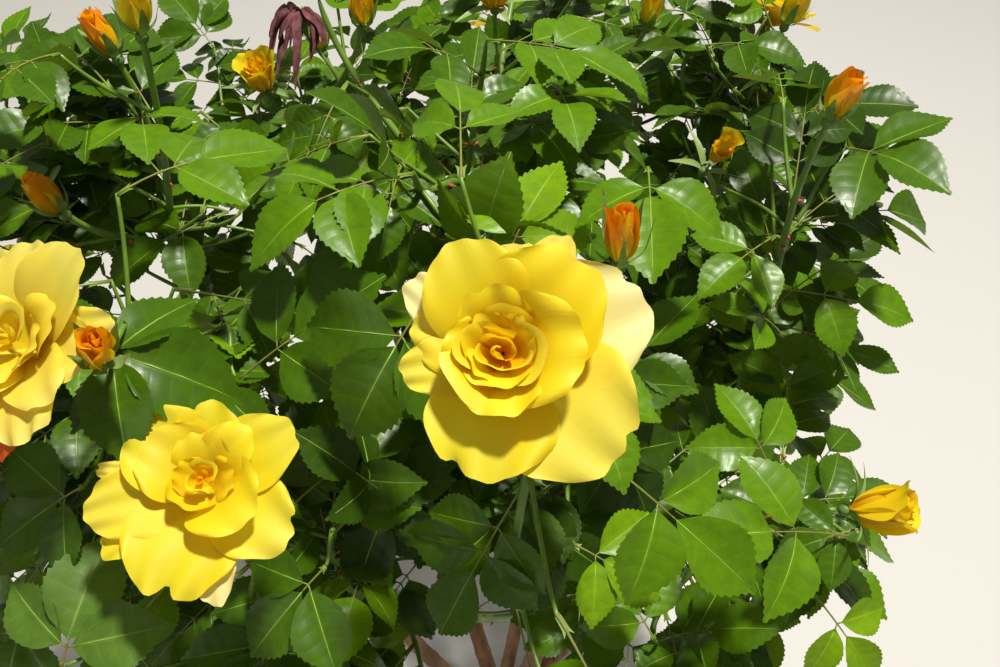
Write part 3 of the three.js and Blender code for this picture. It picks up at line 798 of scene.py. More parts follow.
# %% Prickles
prickles = Heap()
PRICKLE_LONG = 0.0062
PRICKLE_RADII = np.array([0.34, 0.2, 0.1, 0.02])  # from root to tip, as shares of its length


def add_prickles(run, thick, thin, every, size=1.0, first=0.05, last=0.9):
    """Hooked prickles round a limb, spaced unevenly between two shares of its run."""
    count = int(run.length * (last - first) / every)
    for i in range(count):
        share = lerp(first, last, (i + rng.uniform(0.1, 0.9)) / count)
        heading, point = run.heading(share), run.at(share)
        out = turned(across(UP + np.array([0.3, 0.1, 0]), heading), heading, rng.uniform(0, ANY_TURN))
        long = PRICKLE_LONG * size * rng.uniform(0.6, 1.15)
        root = point + out * lerp(thick, thin, share) * 0.8
        hook = [root + out * long * far - heading * long * down
                for far, down in [(0, 0), (0.5, 0), (0.85, 0.12), (1, 0.4)]]
        prickles.add(*tube(hook, PRICKLE_RADII * long, 5))


# %% Boughs
boughs = Heap()
BOUGH_RINGS, BOUGH_SIDES = 60, 12
for mass, run in bough_runs.items():
    shares = np.linspace(0, 1, BOUGH_RINGS)
    joints = swellings(BOUGH_RINGS, count=6, height=0.12, width=0.012)
    radii = lerp(BOUGH["thick"], BOUGH["thin"], shares) * joints
    radii = radii[:, None] * fissures(BOUGH_RINGS, BOUGH_SIDES, depth=0.04)
    boughs.add(*tube(run.points(shares), radii, BOUGH_SIDES))
    add_prickles(run, BOUGH["thick"], BOUGH["thin"], every=0.016)
boughs.make("green_boughs", "green_wood", [GREEN_WOOD], [f"bough_{name}" for name in MASSES])
for name, run in cane_runs.items():
    add_prickles(run, CANES[name]["thick"], CANES[name]["thin"], every=0.034, size=1.2, first=0.2)

# %% Stems and twigs
twigs = Heap()
SHOOT_RINGS, SHOOT_SIDES = 36, 8
SLENDER = dict(thick=0.92, thin=0.8)  # a shoot's radii, as shares of its solid's
# the short limbs that carry one leaf, or leaves between the leaves
LEAF_SPRIG = dict(thick=0.0016, thin=0.0011, rings=14, sides=6, joints=2)
SMALL_SPRIG = dict(thick=0.0018, thin=0.0011, rings=12, sides=5, joints=2)


def add_shoot(run, thick, thin, rings=SHOOT_RINGS, sides=SHOOT_SIDES, joints=5, end=1.0, slim_tip=0.0):
    """A green limb up to a share of its run, with low rings where leaves stand."""
    shares = np.linspace(0, 1, rings)
    radii = lerp(thick, thin, shares) * swellings(rings, joints, 0.16, 0.02) * (1 - slim_tip * shares**30)
    twigs.add(*tube(run.points(shares * end), radii, sides))


for shoot in shoots:
    shoot["thick"], shoot["thin"] = [shoot["size"][part] * SLENDER[part] for part in ("thick", "thin")]
    add_prickles(shoot["run"], shoot["thick"], shoot["thin"], every=0.022, size=0.8, first=0.04, last=0.75)

# %% [markdown]
# ## One leaflet
# A rose leaflet is an oval with a short point, saw teeth that lean forward, and side veins between which
# the blade is pleated. The pleats catch the light, so they are in the mesh: rows of corners stand high and
# low by turns, and the side veins run along the high rows. A few blades with other folds and arches are
# made once and used again.

# %% The blade's outline and pleats
BLADE_HALF_WIDTH = 0.315  # of its length
BLADE_SLANT = 0.3  # how far forward the side veins lean
# line: how far out from the rib, how far it slants, how much of the pleats it has
BLADE_LINES = dict(rib=(0.0, 0.0, 0.0), half=(0.5, 0.45, 0.006), edge=(1.0, 1.0, 0.003))


def blade_width(share):
    """Half the blade's width along its length, as a share of the widest."""
    return np.sin(np.pi * share**0.8) ** (0.66 + 0.62 * share)


def blade(fold, arch, wave, twist, phase, deep):
    """A leaflet one unit long, from its root along +Y and facing +Z: corners, triangles, rib and spots."""
    t = np.linspace(0, 1, BLADE_ROWS)
    slant = BLADE_SLANT * np.sqrt(t) * (1 - t)
    pleat = np.where(np.arange(BLADE_ROWS) % 2 == 0, -1, 1) * np.sin(np.pi * t) ** 0.5 * deep
    corners, faces, spots, rows = [], [], [], {}

    def bent(x, y, lift):
        """Folds the blade up from its rib, and arches and twists it along its length."""
        fold_here = fold * (1 - 0.4 * y)
        ripple = wave * np.sin(5.5 * y + phase + (x > 0) * 1.3) * (np.abs(x) / BLADE_HALF_WIDTH) ** 2
        z = np.abs(x) * fold_here - arch * y**2 + lift + ripple + twist * x * y
        return np.stack([x, y * (1 - 0.35 * arch), z], -1)

    def count():
        """How many corners the blade has so far."""
        return sum(len(part) for part in corners)

    for side, name in [(-1, "half"), (-1, "edge"), (0, "rib"), (1, "half"), (1, "edge")]:
        out, shift, lift = BLADE_LINES[name]
        y = np.minimum(t + slant * shift, 1)
        x = side * out * BLADE_HALF_WIDTH * blade_width(np.minimum(t + slant * shift * 0.3, 1))
        x[[0, -1]] = 0
        rows[side, name] = np.arange(BLADE_ROWS) + count()
        corners.append(bent(x, y, lift * pleat))
        spots.append(np.stack([0 * t + out, t], 1))
    for side in (-1, 1):
        edge = corners[list(rows).index((side, "edge"))]
        reach = 0.015 + 0.011 * np.sin(np.pi * t[:-1])
        tooth = lerp(edge[:-1], edge[1:], 0.7) + np.stack([side * reach, reach * 0.5, 0 * reach], 1)
        rib, half, rim = rows[0, "rib"], rows[side, "half"], rows[side, "edge"]
        tips = np.arange(BLADE_ROWS - 1) + count()
        corners.append(tooth)
        spots.append(np.stack([0 * tips + 1.0, t[:-1]], 1))
        made = [np.stack(three, 1) for three in [
            (rib[:-1], half[:-1], half[1:]), (rib[:-1], half[1:], rib[1:]), (half[:-1], rim[:-1], rim[1:]),
            (half[:-1], rim[1:], half[1:]), (rim[:-1], tips, rim[1:]),
        ]]
        faces += made if side > 0 else [face[:, ::-1] for face in made]
    corners, faces = np.concatenate(corners), np.concatenate(faces)
    sides = [corners[faces[:, (i + 1) % 3]] - corners[faces[:, i]] for i in range(3)]
    wide = np.linalg.norm(np.cross(sides[0], sides[1]), axis=1) > 1e-7
    rib_line = bent(0 * t[::3], t[::3], 0.002)
    return corners, faces[wide], rib_line, np.concatenate(spots)


draw_blade = np.random.default_rng(5)
BLADE_KINDS = 16
# least and greatest fold, arch, wave, twist, phase and depth of the pleats
BLADE_RANGES = [(0.12, 0.55), (0.04, 0.34), (0.012, 0.045), (-0.35, 0.35), (0, ANY_TURN), (0.2, 0.9)]
BLADES = [blade(*[draw_blade.uniform(low, high) for low, high in BLADE_RANGES]) for _ in range(BLADE_KINDS)]
print("a blade has", len(BLADES[0][1]), "triangles")

# %% [markdown]
# ## One compound leaf
# A rose leaf is a stalk with a pair of narrow wings at its root, one to three pairs of leaflets and one at
# its end. The blades turn their faces to the light, whatever way the stalk points.

# %% Leaflets on a stalk
leaf_heaps = {name: Heap() for name in ("front", "left", "back", "right")}
ribs, stalks = Heap(), Heap()
LEAFLET = 0.056  # length of a middling end leaflet
PAIR_JOINTS = {1: [0.72], 2: [0.52, 0.78], 3: [0.36, 0.58, 0.8]}
SMALL_LEAF = 0.74  # a leaf smaller than this has two pairs at most
STALK_RADII = np.array([1.4, 0.8, 0.66, 0.62, 0.58, 0.52, 0.44]) * 0.001
draw = np.random.default_rng(23)


def leaflet_count():
    """How many leaflets stand so far."""
    return sum(len(heap.corners) for heap in leaf_heaps.values())


def quarter_of(point):
    """The side of the crown where a point is, so that the leaves make four meshes."""
    aside, behind = point[0] - CROWN[0], point[1] - CROWN[1]
    if abs(behind) > abs(aside):
        return "back" if behind > 0 else "front"
    return "right" if aside > 0 else "left"


def add_leaflet(root, along, facing, long, tint):
    """One blade and its rib at a point, along a direction, facing another."""
    corners, faces, rib_line, spots = BLADES[int(draw.integers(99)) % BLADE_KINDS]
    facing = across(facing, along)
    turn_to = np.stack([np.cross(along, facing), along, facing])
    slim = draw.uniform(0.88, 1.06)
    leaf_heaps[quarter_of(root)].add(root + corners * [slim, 1, 1] @ turn_to * long, faces, tint, spots)
    width = np.linspace(0.010, 0.003, len(rib_line)) * long
    ribs.add(*tube(root + rib_line @ turn_to * long, width, 3))


def leaflet_places(run, pairs, up, long, shrink, spread):
    """Where the leaflets of a stalk stand: root, direction, facing and length of each. The pairs are
    shorter than the end leaflet, and spread is a function that gives their angle from the stalk."""
    places = []
    for joint in PAIR_JOINTS[pairs]:
        heading = run.heading(joint)
        facing = across(up, heading)
        for side in (-1, 1):
            out = turned(heading, facing, -side * spread())
            places.append((run.at(joint) + out * 0.003, out, facing, long * lerp(*shrink, joint)))
    heading = run.heading(1)
    return places + [(run.at(1), heading, across(up, heading), long)]


def add_leaf(run, places, tint, lean=0.42):
    """A stalk with its root wings, and its leaflets turned a little from flat."""
    stalks.add(*tube(run.points(np.linspace(0, 1, len(STALK_RADII))), STALK_RADII, 5))
    heading, facing = run.heading(0.1), across(UP, run.heading(0.1))
    for side in (-1, 1):
        out = np.cross(heading, facing) * side
        base, tip = run.at(0.02), run.at(0.2) + out * 0.003
        wing = [base, base + out * 0.0016, run.at(0.14) + out * 0.002, tip, run.at(0.15)]
        fan = np.array([[0, 1, 2], [0, 2, 4], [4, 2, 3]])
        twigs.add(np.array(wing), fan if side > 0 else fan[:, ::-1])
    for root, out, facing, long in places:
        stalks.add(*tube([root - out * 0.0032, root + out * 0.002], [0.0005] * 2, 4))
        facing = turned(facing, out, draw.uniform(-lean, lean))
        facing = turned(facing, np.cross(out, facing), draw.uniform(-lean, lean) * 0.7)
        add_leaflet(root, across(out, facing), facing, long * draw.uniform(0.92, 1.08), tint)


# %% [markdown]
# ## Keeping sights clear
# In the photograph nothing hides the blooms, the buds, and some large leaves close to the eye. Each of
# them is a clear sight: a disc in the picture with a depth. A leaf of the rule that would come in front of
# one turns to another side of its shoot, or is left out.

# %% Sights
LEAFLET_HALF = 0.022
SIGHT_MARGIN = 0.012  # a leaf this little behind a sight's middle still counts as before it
NEAREST, FAR = 0.1, 9.0  # nearer to the eye, and further from it, than anything on the bush
# where bare ground shows in the picture: x, y and radius in pixels
OPEN_GROUND = [(985, 330, 60), (960, 600, 62), (462, 640, 30), (152, 286, 22), (970, 430, 70)]
sights = []


def keep_sight(point, radius):
    """Keeps leaves from before a point and what lies within a radius of it."""
    px, py, depth = seen_at(point)
    sights.append((px, py, radius * FOCAL / depth, depth))


def hides_a_sight(points):
    """Whether any of some points, with a leaflet's half width round it, comes before a clear sight."""
    discs = np.array(sights)
    for point in points:
        px, py, depth = seen_at(point)
        leaflet = LEAFLET_HALF * FOCAL / max(depth, NEAREST)
        near = np.hypot(discs[:, 0] - px, discs[:, 1] - py) < discs[:, 2] + leaflet
        if (near & (depth < discs[:, 3] + SIGHT_MARGIN)).any():
            return True
    return False


for name, _, kind, at, _ in FLOWERS:
    if name not in OUT_OF_PICTURE:
        keep_sight(np.array(at), BLOOM_WIDTH[kind] * 0.5)
keep_sight(place(*SPENT_AT) - 0.02 * VIEW_UP, 0.026)
keep_sight(place(*HALF_HIDDEN), 0.012)
sights += [(x, y, radius, FAR) for x, y, radius in OPEN_GROUND]

# %% [markdown]
# ## Leaves that the photograph shows up close
# Some leaves near the eye shape the picture, so they are placed one by one: where the stalk starts and ends
# in the picture, how far away, and how long the leaflets are. Dark ones fill the shade between the blooms,
# and their deep tint is painted shade. Each stalk is led back to the nearest shoot by a sprig of its own, so
# it is carried from any side.

# %% The close leaves
# name, stalk's start (x, y, depth), stalk's end (x, y, depth), pairs, end leaflet's length, tint
CLOSE_LEAVES = [
    ("under_bloom", (528, 478, 0.54), (473, 571, 0.555), 2, 0.058, 1),
    ("right_of_bloom", (606, 462, 0.50), (676, 520, 0.505), 1, 0.062, 2),
    ("right_low", (848, 536, 0.60), (772, 532, 0.56), 1, 0.064, 2),
    ("under_cup", (862, 528, 0.60), (826, 538, 0.60), 1, 0.036, 1),
    ("corner", (812, 592, 0.62), (846, 636, 0.62), 1, 0.045, 3),
    ("spray_right", (738, 285, 0.70), (856, 301, 0.69), 1, 0.052, 2),
    ("spray_mid", (775, 236, 0.68), (742, 258, 0.66), 1, 0.046, 2),
    ("by_bud_d", (846, 148, 0.66), (878, 154, 0.64), 1, 0.062, 1),
    ("left_group", (238, 381, 0.56), (294, 337, 0.55), 1, 0.062, 1),
    ("beside_bud_g", (92, 350, 0.49), (121, 356, 0.488), 1, 0.066, 1),
    ("left_high", (228, 212, 0.72), (165, 241, 0.70), 1, 0.056, 1),
    ("left_low", (62, 667, 0.50), (68, 640, 0.50), 1, 0.060, 4),
    ("left_edge", (84, 486, 0.52), (58, 501, 0.52), 1, 0.052, 1),
    ("below_bloom_b", (326, 566, 0.56), (302, 592, 0.56), 1, 0.056, 1),
    ("left_of_bloom", (418, 312, 0.50), (396, 346, 0.50), 1, 0.068, 1),
    ("behind_bud_f", (648, 168, 0.56), (650, 196, 0.54), 1, 0.058, 2),
    ("above_bloom", (505, 262, 0.55), (520, 228, 0.55), 1, 0.056, 3),
    ("above_left", (484, 262, 0.585), (487, 234, 0.565), 1, 0.056, 2),
    ("low_middle", (575, 545, 0.60), (603, 560, 0.60), 1, 0.054, 3),
    ("by_cup_e", (770, 470, 0.62), (757, 440, 0.62), 1, 0.052, 2),
    ("bottom_middle", (655, 640, 0.66), (640, 615, 0.66), 1, 0.050, 2),
    # the shade rows: leaves in the shade between the blooms, with the deep tint as painted shade
    ("shade_a", (402, 468, 0.60), (384, 512, 0.60), 2, 0.056, 0),
    ("shade_b", (352, 446, 0.64), (346, 492, 0.64), 1, 0.056, 0),
    ("shade_c", (470, 492, 0.66), (430, 500, 0.66), 2, 0.054, 0),
    ("shade_d", (556, 500, 0.64), (548, 540, 0.64), 2, 0.054, 0),
    ("shade_e", (610, 590, 0.72), (572, 600, 0.72), 1, 0.054, 0),
    ("shade_f", (420, 560, 0.68), (396, 590, 0.68), 2, 0.052, 0),
    ("shade_g", (330, 520, 0.70), (372, 530, 0.70), 2, 0.052, 0),
    ("shade_h", (640, 520, 0.72), (610, 500, 0.72), 1, 0.054, 0),
    ("shade_i", (505, 505, 0.64), (468, 512, 0.64), 1, 0.058, 0),
    ("shade_j", (566, 474, 0.62), (530, 500, 0.61), 2, 0.056, 0),
    ("shade_k", (440, 420, 0.66), (418, 452, 0.66), 1, 0.058, 0),
    ("shade_l", (600, 430, 0.64), (622, 462, 0.64), 1, 0.054, 0),
    ("shade_m", (352, 416, 0.64), (322, 436, 0.64), 1, 0.054, 0),
    ("shade_n", (300, 245, 0.74), (322, 262, 0.74), 1, 0.054, 1),
    ("shade_o", (150, 590, 0.66), (126, 598, 0.66), 1, 0.054, 0),
    ("shade_p", (34, 566, 0.66), (12, 584, 0.66), 1, 0.054, 0),
    ("shade_q", (222, 604, 0.66), (192, 622, 0.66), 1, 0.054, 0),
    ("shade_r", (404, 268, 0.62), (414, 300, 0.62), 1, 0.052, 0),
    ("upper_a", (398, 104, 0.88), (412, 66, 0.88), 2, 0.058, 2),
    ("upper_b", (470, 44, 0.95), (436, 30, 0.95), 2, 0.058, 1),
    ("upper_c", (560, 60, 0.92), (545, 34, 0.92), 2, 0.060, 2),
    ("upper_d", (92, 90, 0.88), (62, 62, 0.88), 2, 0.058, 1),
    ("upper_e", (214, 48, 0.92), (196, 24, 0.92), 2, 0.056, 1),
    ("upper_f", (340, 214, 0.78), (352, 186, 0.78), 1, 0.056, 3),
    ("far_left", (28, 618, 0.58), (18, 640, 0.58), 1, 0.054, 1),
    ("bottom_left", (150, 668, 0.60), (134, 650, 0.60), 1, 0.048, 2),
]
CLEAR_DEPTH = 0.72  # leaves further away than this may be covered, and so may those in the shade
NECK = 0.045  # how far below its hip a large bloom's stem turns to it
FIRST_FORK, LAST_FORK = 0.08, 0.92  # where a shoot can carry a sprig, as shares of its run
SEEN_FACE = unit(0.75 * UP - 0.5 * AHEAD)  # close leaves face the light and the eye
CLOSE_SPREAD = 1.12  # angle of a leaflet from its stalk
SHORTEST_SPRIG = 0.004  # a leaf nearer than this to a shoot stands on the shoot itself

for shoot in shoots:
    in_sight = shoot["flower"] and shoot["flower"][0] in HEARTS
    shoot["reach"] = 1 - NECK / shoot["run"].length if in_sight else LAST_FORK
    shoot["carries"] = 0.0  # the furthest share that carries one


def nearest_shoot(point):
    """How far the nearest shoot is from a point, the point on it, and its heading there."""
    nearest = FAR
    for shoot in shoots:
        shares = np.linspace(FIRST_FORK, shoot["reach"], 40)
        gaps = np.linalg.norm(shoot["run"].points(shares) - point, axis=1)
        if gaps.min() < nearest:
            nearest, carrier, share = gaps.min(), shoot, shares[gaps.argmin()]
    carrier["carries"] = max(carrier["carries"], share)
    return nearest, carrier["run"].at(share), carrier["run"].heading(share)


for name, start, end, pairs, long, tint in CLOSE_LEAVES:
    root, tip = place(*start), place(*end)
    gap, fork, heading = nearest_shoot(root)
    if gap > SHORTEST_SPRIG:
        way = unit(root - fork)
        sprig = bend(fork, unit(0.35 * heading + way), root, unit(0.5 * unit(tip - root) + way))
        add_shoot(sprig, **LEAF_SPRIG)
    run = Run(root, (root + tip) / 2 + 0.06 * np.linalg.norm(tip - root) * UP, tip)
    places = leaflet_places(run, pairs, SEEN_FACE, long, (0.76, 0.9), lambda: CLOSE_SPREAD)
    if end[2] < CLEAR_DEPTH and not name.startswith("shade"):
        for leaflet_root, out, _, leaflet_long in places:
            keep_sight(leaflet_root + out * leaflet_long * 0.5, leaflet_long * 0.32)
    add_leaf(run, places, tint, 0.15)
print(leaflet_count(), "leaflets placed by eye")

# %% [markdown]
# ## Leaves of the rule
# Every shoot carries leaves from its tip down, each turned from the last by two fifths of a circle, and
# short sprigs with smaller leaves of their own. A leaf stays inside its mass's own space and the crown's
# outline, so the bush keeps the solids' shape. A tint is dealt out to each leaf, for its whole spray: lighter
# high and far out in the crown and deeper low inside it, as painted light and shade.

# %% Dealing out the leaves
LEAF_TURN = math.radians(144)
SPACE_GIVE, SPACE_DOME = 0.070, 1.1  # how far a leaf may reach out of its mass's space and the dome
RISE, OUTWARD, TRIES = 0.45, 0.5, 5  # a stalk's lean along its shoot and out of the crown
BOX_MARGIN = 0.004
low_limit = np.array(cad_low) + BOX_MARGIN
high_limit = np.array(cad_high) - BOX_MARGIN


def in_own_space(point, mass):
    """Nearest to its own mass's middle, with a little give, and inside the crown and the solids' box."""
    gaps = np.linalg.norm(mass_middles - point, axis=1)
    own = gaps[mass_names.index(mass)]
    inside = (point > low_limit).all() and (point < high_limit).all()
    return inside and dome_share(point) < SPACE_DOME and gaps.min() > own - SPACE_GIVE


flower_clear = np.array([BLOOM_WIDTH[kind] * 0.5 + 0.008 for _, _, kind, _, _ in FLOWERS])


def in_a_flower(points):
    """Whether any of some points lies among a flower's petals."""
    gaps = np.linalg.norm(np.array(points)[:, None] - flower_heads, axis=2)
    return (gaps < flower_clear).any()


SOFT_TINT, SOFT_SHARE = 4, 0.06  # the last tint, and the share of the leaves that have it
# length of a pair's leaflets at the stalk's root and end, as shares of the end leaflet's
PAIR_SHRINK = (0.78, 0.92)


def any_spread():
    """The angle of a leaflet from its stalk."""
    return draw.uniform(0.95, 1.2)


def tint_for(point):
    """Painted light and shade: leaves high and far out in the crown mostly get the lighter tints, and those
    low inside it, where shade falls, the deep one. A few are dull and soft.
    """
    # light: how high and how far out the leaf stands, the painted light that picks its tint
    light = 0.5 * dome_share(point) + 0.3 * (point[2] - CROWN[2]) / RISE_UP + draw.normal(0, 0.42)
    if draw.uniform() < SOFT_SHARE:
        return SOFT_TINT
    return int(np.clip(round(0.45 + 1.4 * light), 0, 3))


def leaf_at(run, share, turn, mass, long, size):
    """Tries a leaf at a share of a shoot, on one side after another, until one is free."""
    root, heading = run.at(share), run.heading(share)
    outward = unit((root - CROWN) * [1, 1, 0])
    pairs = int(draw.choice([1, 2, 2, 3] if size > SMALL_LEAF else [1, 2]))
    stalk_long = long * (0.8 + 0.14 * pairs)
    for attempt in range(TRIES):
        side = compass(turn + attempt * GOLDEN_ANGLE)
        along = unit(across(side, heading) + RISE * heading + OUTWARD * outward)
        end = root + along * stalk_long - UP * stalk_long * draw.uniform(0.05, 0.3)
        stalk = Run(root, root + along * stalk_long / 2, end)
        places = leaflet_places(stalk, pairs, UP, LEAFLET * size, PAIR_SHRINK, any_spread)
        ends = [foot + out * leaflet_long for foot, out, _, leaflet_long in places]
        middles = [foot + out * leaflet_long * 0.5 for foot, out, _, leaflet_long in places]
        free = all(in_own_space(end, mass) for end in ends)
        if free and not in_a_flower(middles) and not hides_a_sight(middles):
            add_leaf(stalk, places, tint_for(root))
            return True
    return False


STALK_LONG = 0.066  # of a middling leaf
LEAF_EVERY, LEAF_FIRST = 0.028, 0.030  # from leaf to leaf, and from the shoot's foot to the first
# size of the leaves in a mass, where it isn't 1
LEAF_SIZE = dict(top=0.94, back=0.88, back_left=0.88, back_right=0.88, right=0.94, left=0.92, back_low=0.9)


def leafy(run, mass, bare_end, every, size, long):
    """Leaves along a shoot from its tip down. Gives the share of the shoot where the last leaf stands."""
    last = run.length - bare_end
    steps = max(1, round((last - LEAF_FIRST) / every))
    turn = draw.uniform(0, 2 * math.pi)
    furthest = 0
    for i in range(steps, -1, -1):
        turn += LEAF_TURN
        share = lerp(LEAF_FIRST, last, i / steps) / run.length
        if leaf_at(run, share, turn, mass, long * draw.uniform(0.85, 1.15), size * draw.uniform(0.82, 1.12)):
            furthest = max(furthest, share)
    return furthest


# %% Leaves on the shoots
TIP_LONG = 0.03  # how far a leafy shoot goes on past what it carries, as a share of its run

for shoot in shoots:
    run, thick, thin, flower = shoot["run"], shoot["thick"], shoot["thin"], shoot["flower"]
    bare_end = BLOOM_WIDTH[flower[1]] / 2 + 0.012 if flower else 0.003
    size = LEAF_SIZE.get(shoot["mass"], 1.0)
    furthest = leafy(run, shoot["mass"], bare_end, LEAF_EVERY, size, STALK_LONG * size)
    if flower is None or flower[0] in MOVED:
        end = min(max(furthest, shoot["carries"]) + TIP_LONG, 1.0)
        shoot["reach"] = end - TIP_LONG
        add_shoot(run, thick, thin, end=end, slim_tip=0.9)
    elif flower[0] in HEARTS:
        bloom, faces = flower[0], unit(FACING[flower[0]])
        hip = place(*HEARTS[bloom]) - faces * (BLOOM_SINK[bloom] + HIP_LONG)
        fork = shoot["reach"]
        add_shoot(run, thick, thin, end=fork)
        neck = bend(run.at(fork), run.heading(fork), hip, faces)
        add_shoot(neck, thin, thin * 0.9, rings=16, joints=1)
    else:
        add_shoot(run, thick, thin)

# %% Sprigs between the leaves
SPRIG_EVERY = 0.042
SPRIG_FIRST, SPRIG_LAST = 0.06, 0.8  # the first sprig, and the part with sprigs, as shares of the shoot
SPRIG_LONG = (0.05, 0.11)
SPRIG_TURN = LEAF_TURN + 0.7
SPRIG_LEAF_EVERY, SPRIG_LEAF_SIZE, SPRIG_STALK = 0.032, 0.84, 0.062
sprig_count = 0
for shoot in shoots:
    run = shoot["run"]
    turn = draw.uniform(0, ANY_TURN)
    for i in range(int(run.length * SPRIG_LAST / SPRIG_EVERY)):
        turn += SPRIG_TURN
        share = SPRIG_FIRST + (i + draw.uniform(0.2, 0.8)) * SPRIG_EVERY / run.length
        fork, heading = run.at(share), run.heading(share)
        for attempt in range(TRIES):
            out = unit(across(compass(turn + attempt * GOLDEN_ANGLE, 0.1), heading) + 0.55 * heading)
            tip = fork + out * draw.uniform(*SPRIG_LONG) + 0.012 * UP
            if in_own_space(tip + out * 0.03, shoot["mass"]) and not in_a_flower([tip]):
                break
        else:
            continue
        sprig = bend(fork, out, tip, unit(out + 0.8 * UP))
        size = LEAF_SIZE.get(shoot["mass"], 1.0) * SPRIG_LEAF_SIZE
        furthest = leafy(sprig, shoot["mass"], 0.002, SPRIG_LEAF_EVERY, size, SPRIG_STALK * size)
        if furthest:
            add_shoot(sprig, **SMALL_SPRIG, end=min(furthest + 0.01, 1.0))
            sprig_count += 1
print(sprig_count, "sprigs,", leaflet_count(), "leaflets")

# %% [markdown]
# ## One petal
# A rose petal is a sheet that is narrow at its root and wide near its rim. It leans out from the flower's
# middle by an angle that changes along it, cups towards the middle across its width, and its rim rolls back
# and ruffles. Its colour fades from the root to the rim. Each corner's tone in that fade is written in the
# map, and the finish turns it into a colour.

# %% How a flower stands
petals, calyx = Heap(), Heap()
petal_draw = np.random.default_rng(31)
LOOK_UP = across(VIEW_UP, AHEAD)
GOLDEN_DEGREES = math.degrees(GOLDEN_ANGLE)


def flower_frame(at, faces, size=1.0):
    """A flower's middle, its axis, and its own up and right as the eye sees them."""
    axis = unit(faces)
    above = across(LOOK_UP, axis)
    return dict(at=np.array(at), axis=axis, above=above, right=np.cross(above, axis), size=size)


def spoke(flower, azimuth):
    """The way out from a flower's axis, and the way round it. At azimuth 0 out is right, at 90 it is up."""
    turn = math.radians(azimuth)
    out = math.cos(turn) * flower["right"] + math.sin(turn) * flower["above"]
    return out, np.cross(flower["axis"], out)


# %% A petal as a curved sheet
PETAL_ROWS, PETAL_COLUMNS, LEAN_STEPS = 15, 23, 80
PETAL_RUFFLE, NO_NOTCH, NOTCH_WIDE = 0.001, (0, 0), 0.13


def climbed(leans, turned_by):
    """How far a petal has come after each step, out (by sines) or up (by cosines), one unit long in all."""
    part = turned_by(leans)
    return np.concatenate([[0], np.cumsum((part[1:] + part[:-1]) / 2)]) / (LEAN_STEPS - 1)


def petal(flower, sink, azimuth, long, wide, lean, cup, roll, tones, ruffle=PETAL_RUFFLE, notch=NO_NOTCH,
          point=0.27, finish=0, edge=0.0):
    """One petal. Its root lies at a depth of sink below the flower's middle. Its length, width and the roll
    of its rim are in mm. It leans from the axis by three angles in degrees, at its root, middle and rim. The
    cup is the radius that its width is bent to. The tones are those of its root and rim, and the edge is how
    much further its sides have faded. The notch has a place across the rim and a depth."""
    long, wide, cup = long * 0.001 * flower["size"], wide * 0.001 * flower["size"], cup * flower["size"]
    v = np.linspace(0, 1, PETAL_ROWS)[:, None]
    u = np.linspace(-1, 1, PETAL_COLUMNS)[None]

    # outline: how far along its length each corner lies, and half its width there
    share = v * (1 - point * np.abs(u) ** 2.5)
    share = share * (1 - notch[1] * np.exp(-(((u - notch[0]) / NOTCH_WIDE) ** 2)) * v**4)
    uneven = petal_draw.uniform(0, ANY_TURN)
    share = share * (1 - 0.02 * v**4 * (1 + np.sin(7 * u + uneven) * 0.7 + np.sin(15 * u + 2 * uneven) * 0.3))
    half = wide / 2 * (0.2 + 0.8 * np.sin(np.pi / 2 * np.clip(share / 0.62, 0, 1)) ** 0.9) * (1 - 0.14 * v**8)

    # lean: a smooth change through its three angles
    steps = np.linspace(0, 1, LEAN_STEPS)
    leans = np.radians(lean[0] * (1 - steps) * (1 - 2 * steps) + lean[1] * 4 * steps * (1 - steps)
                       + lean[2] * steps * (2 * steps - 1))
    out_reach = np.interp(share, steps, climbed(leans, np.sin) * long)
    up_reach = np.interp(share, steps, climbed(leans, np.cos) * long)
    here = np.interp(share, steps, leans)

    # cup, rolled rim and ruffles
    bow = np.clip(u * half / cup, -1.45, 1.45)
    lift = cup * (1 - np.cos(bow))
    waves, phase = petal_draw.uniform(2.2, 3.8), petal_draw.uniform(0, ANY_TURN)
    rim = np.maximum(v**4, np.abs(u) ** 4 * v)
    lift = lift - roll * 0.001 * rim * (0.6 + 0.4 * np.cos(2 * u + phase))
    lift = lift + ruffle * np.sin(waves * np.pi * u + phase) * v**4
    lift = lift + ruffle * 0.22 * np.sin(2.3 * waves * u + 9 * v + phase) * v

    out, side = spoke(flower, azimuth)
    inward = -np.cos(here)[..., None] * out + np.sin(here)[..., None] * flower["axis"]
    base = flower["at"] - flower["axis"] * sink * flower["size"]
    corners = (base + out_reach[..., None] * out + up_reach[..., None] * flower["axis"]
               + (cup * np.sin(bow))[..., None] * side + lift[..., None] * inward)
    tone = (lerp(tones[0], tones[1], share**0.8) + edge * np.abs(u) ** 3) / LAST_TONE
    spots = np.stack([tone, np.broadcast_to(0.5 + 0.5 * u, tone.shape)], -1)
    petals.add(corners.reshape(-1, 3), sheet_faces(PETAL_ROWS, PETAL_COLUMNS), finish, spots.reshape(-1, 2))


# %% [markdown]
# ## Hips and sepals
# Under the petals sits a small round hip with five narrow green sepals, which fold back when the flower
# opens and clasp the bud before.

# %% Hip and sepals
SEPAL_ROWS, SEPAL_COLUMNS, SEPAL_STEPS = 9, 5, 40
HIP_PROFILE = [(0, 0.3), (0.2, 0.8), (0.5, 1.0), (0.8, 0.85), (1.0, 0.6)]  # up, out
OPEN_SEPALS = (24, (80, 120, 130))  # length in mm, lean at root, middle and tip


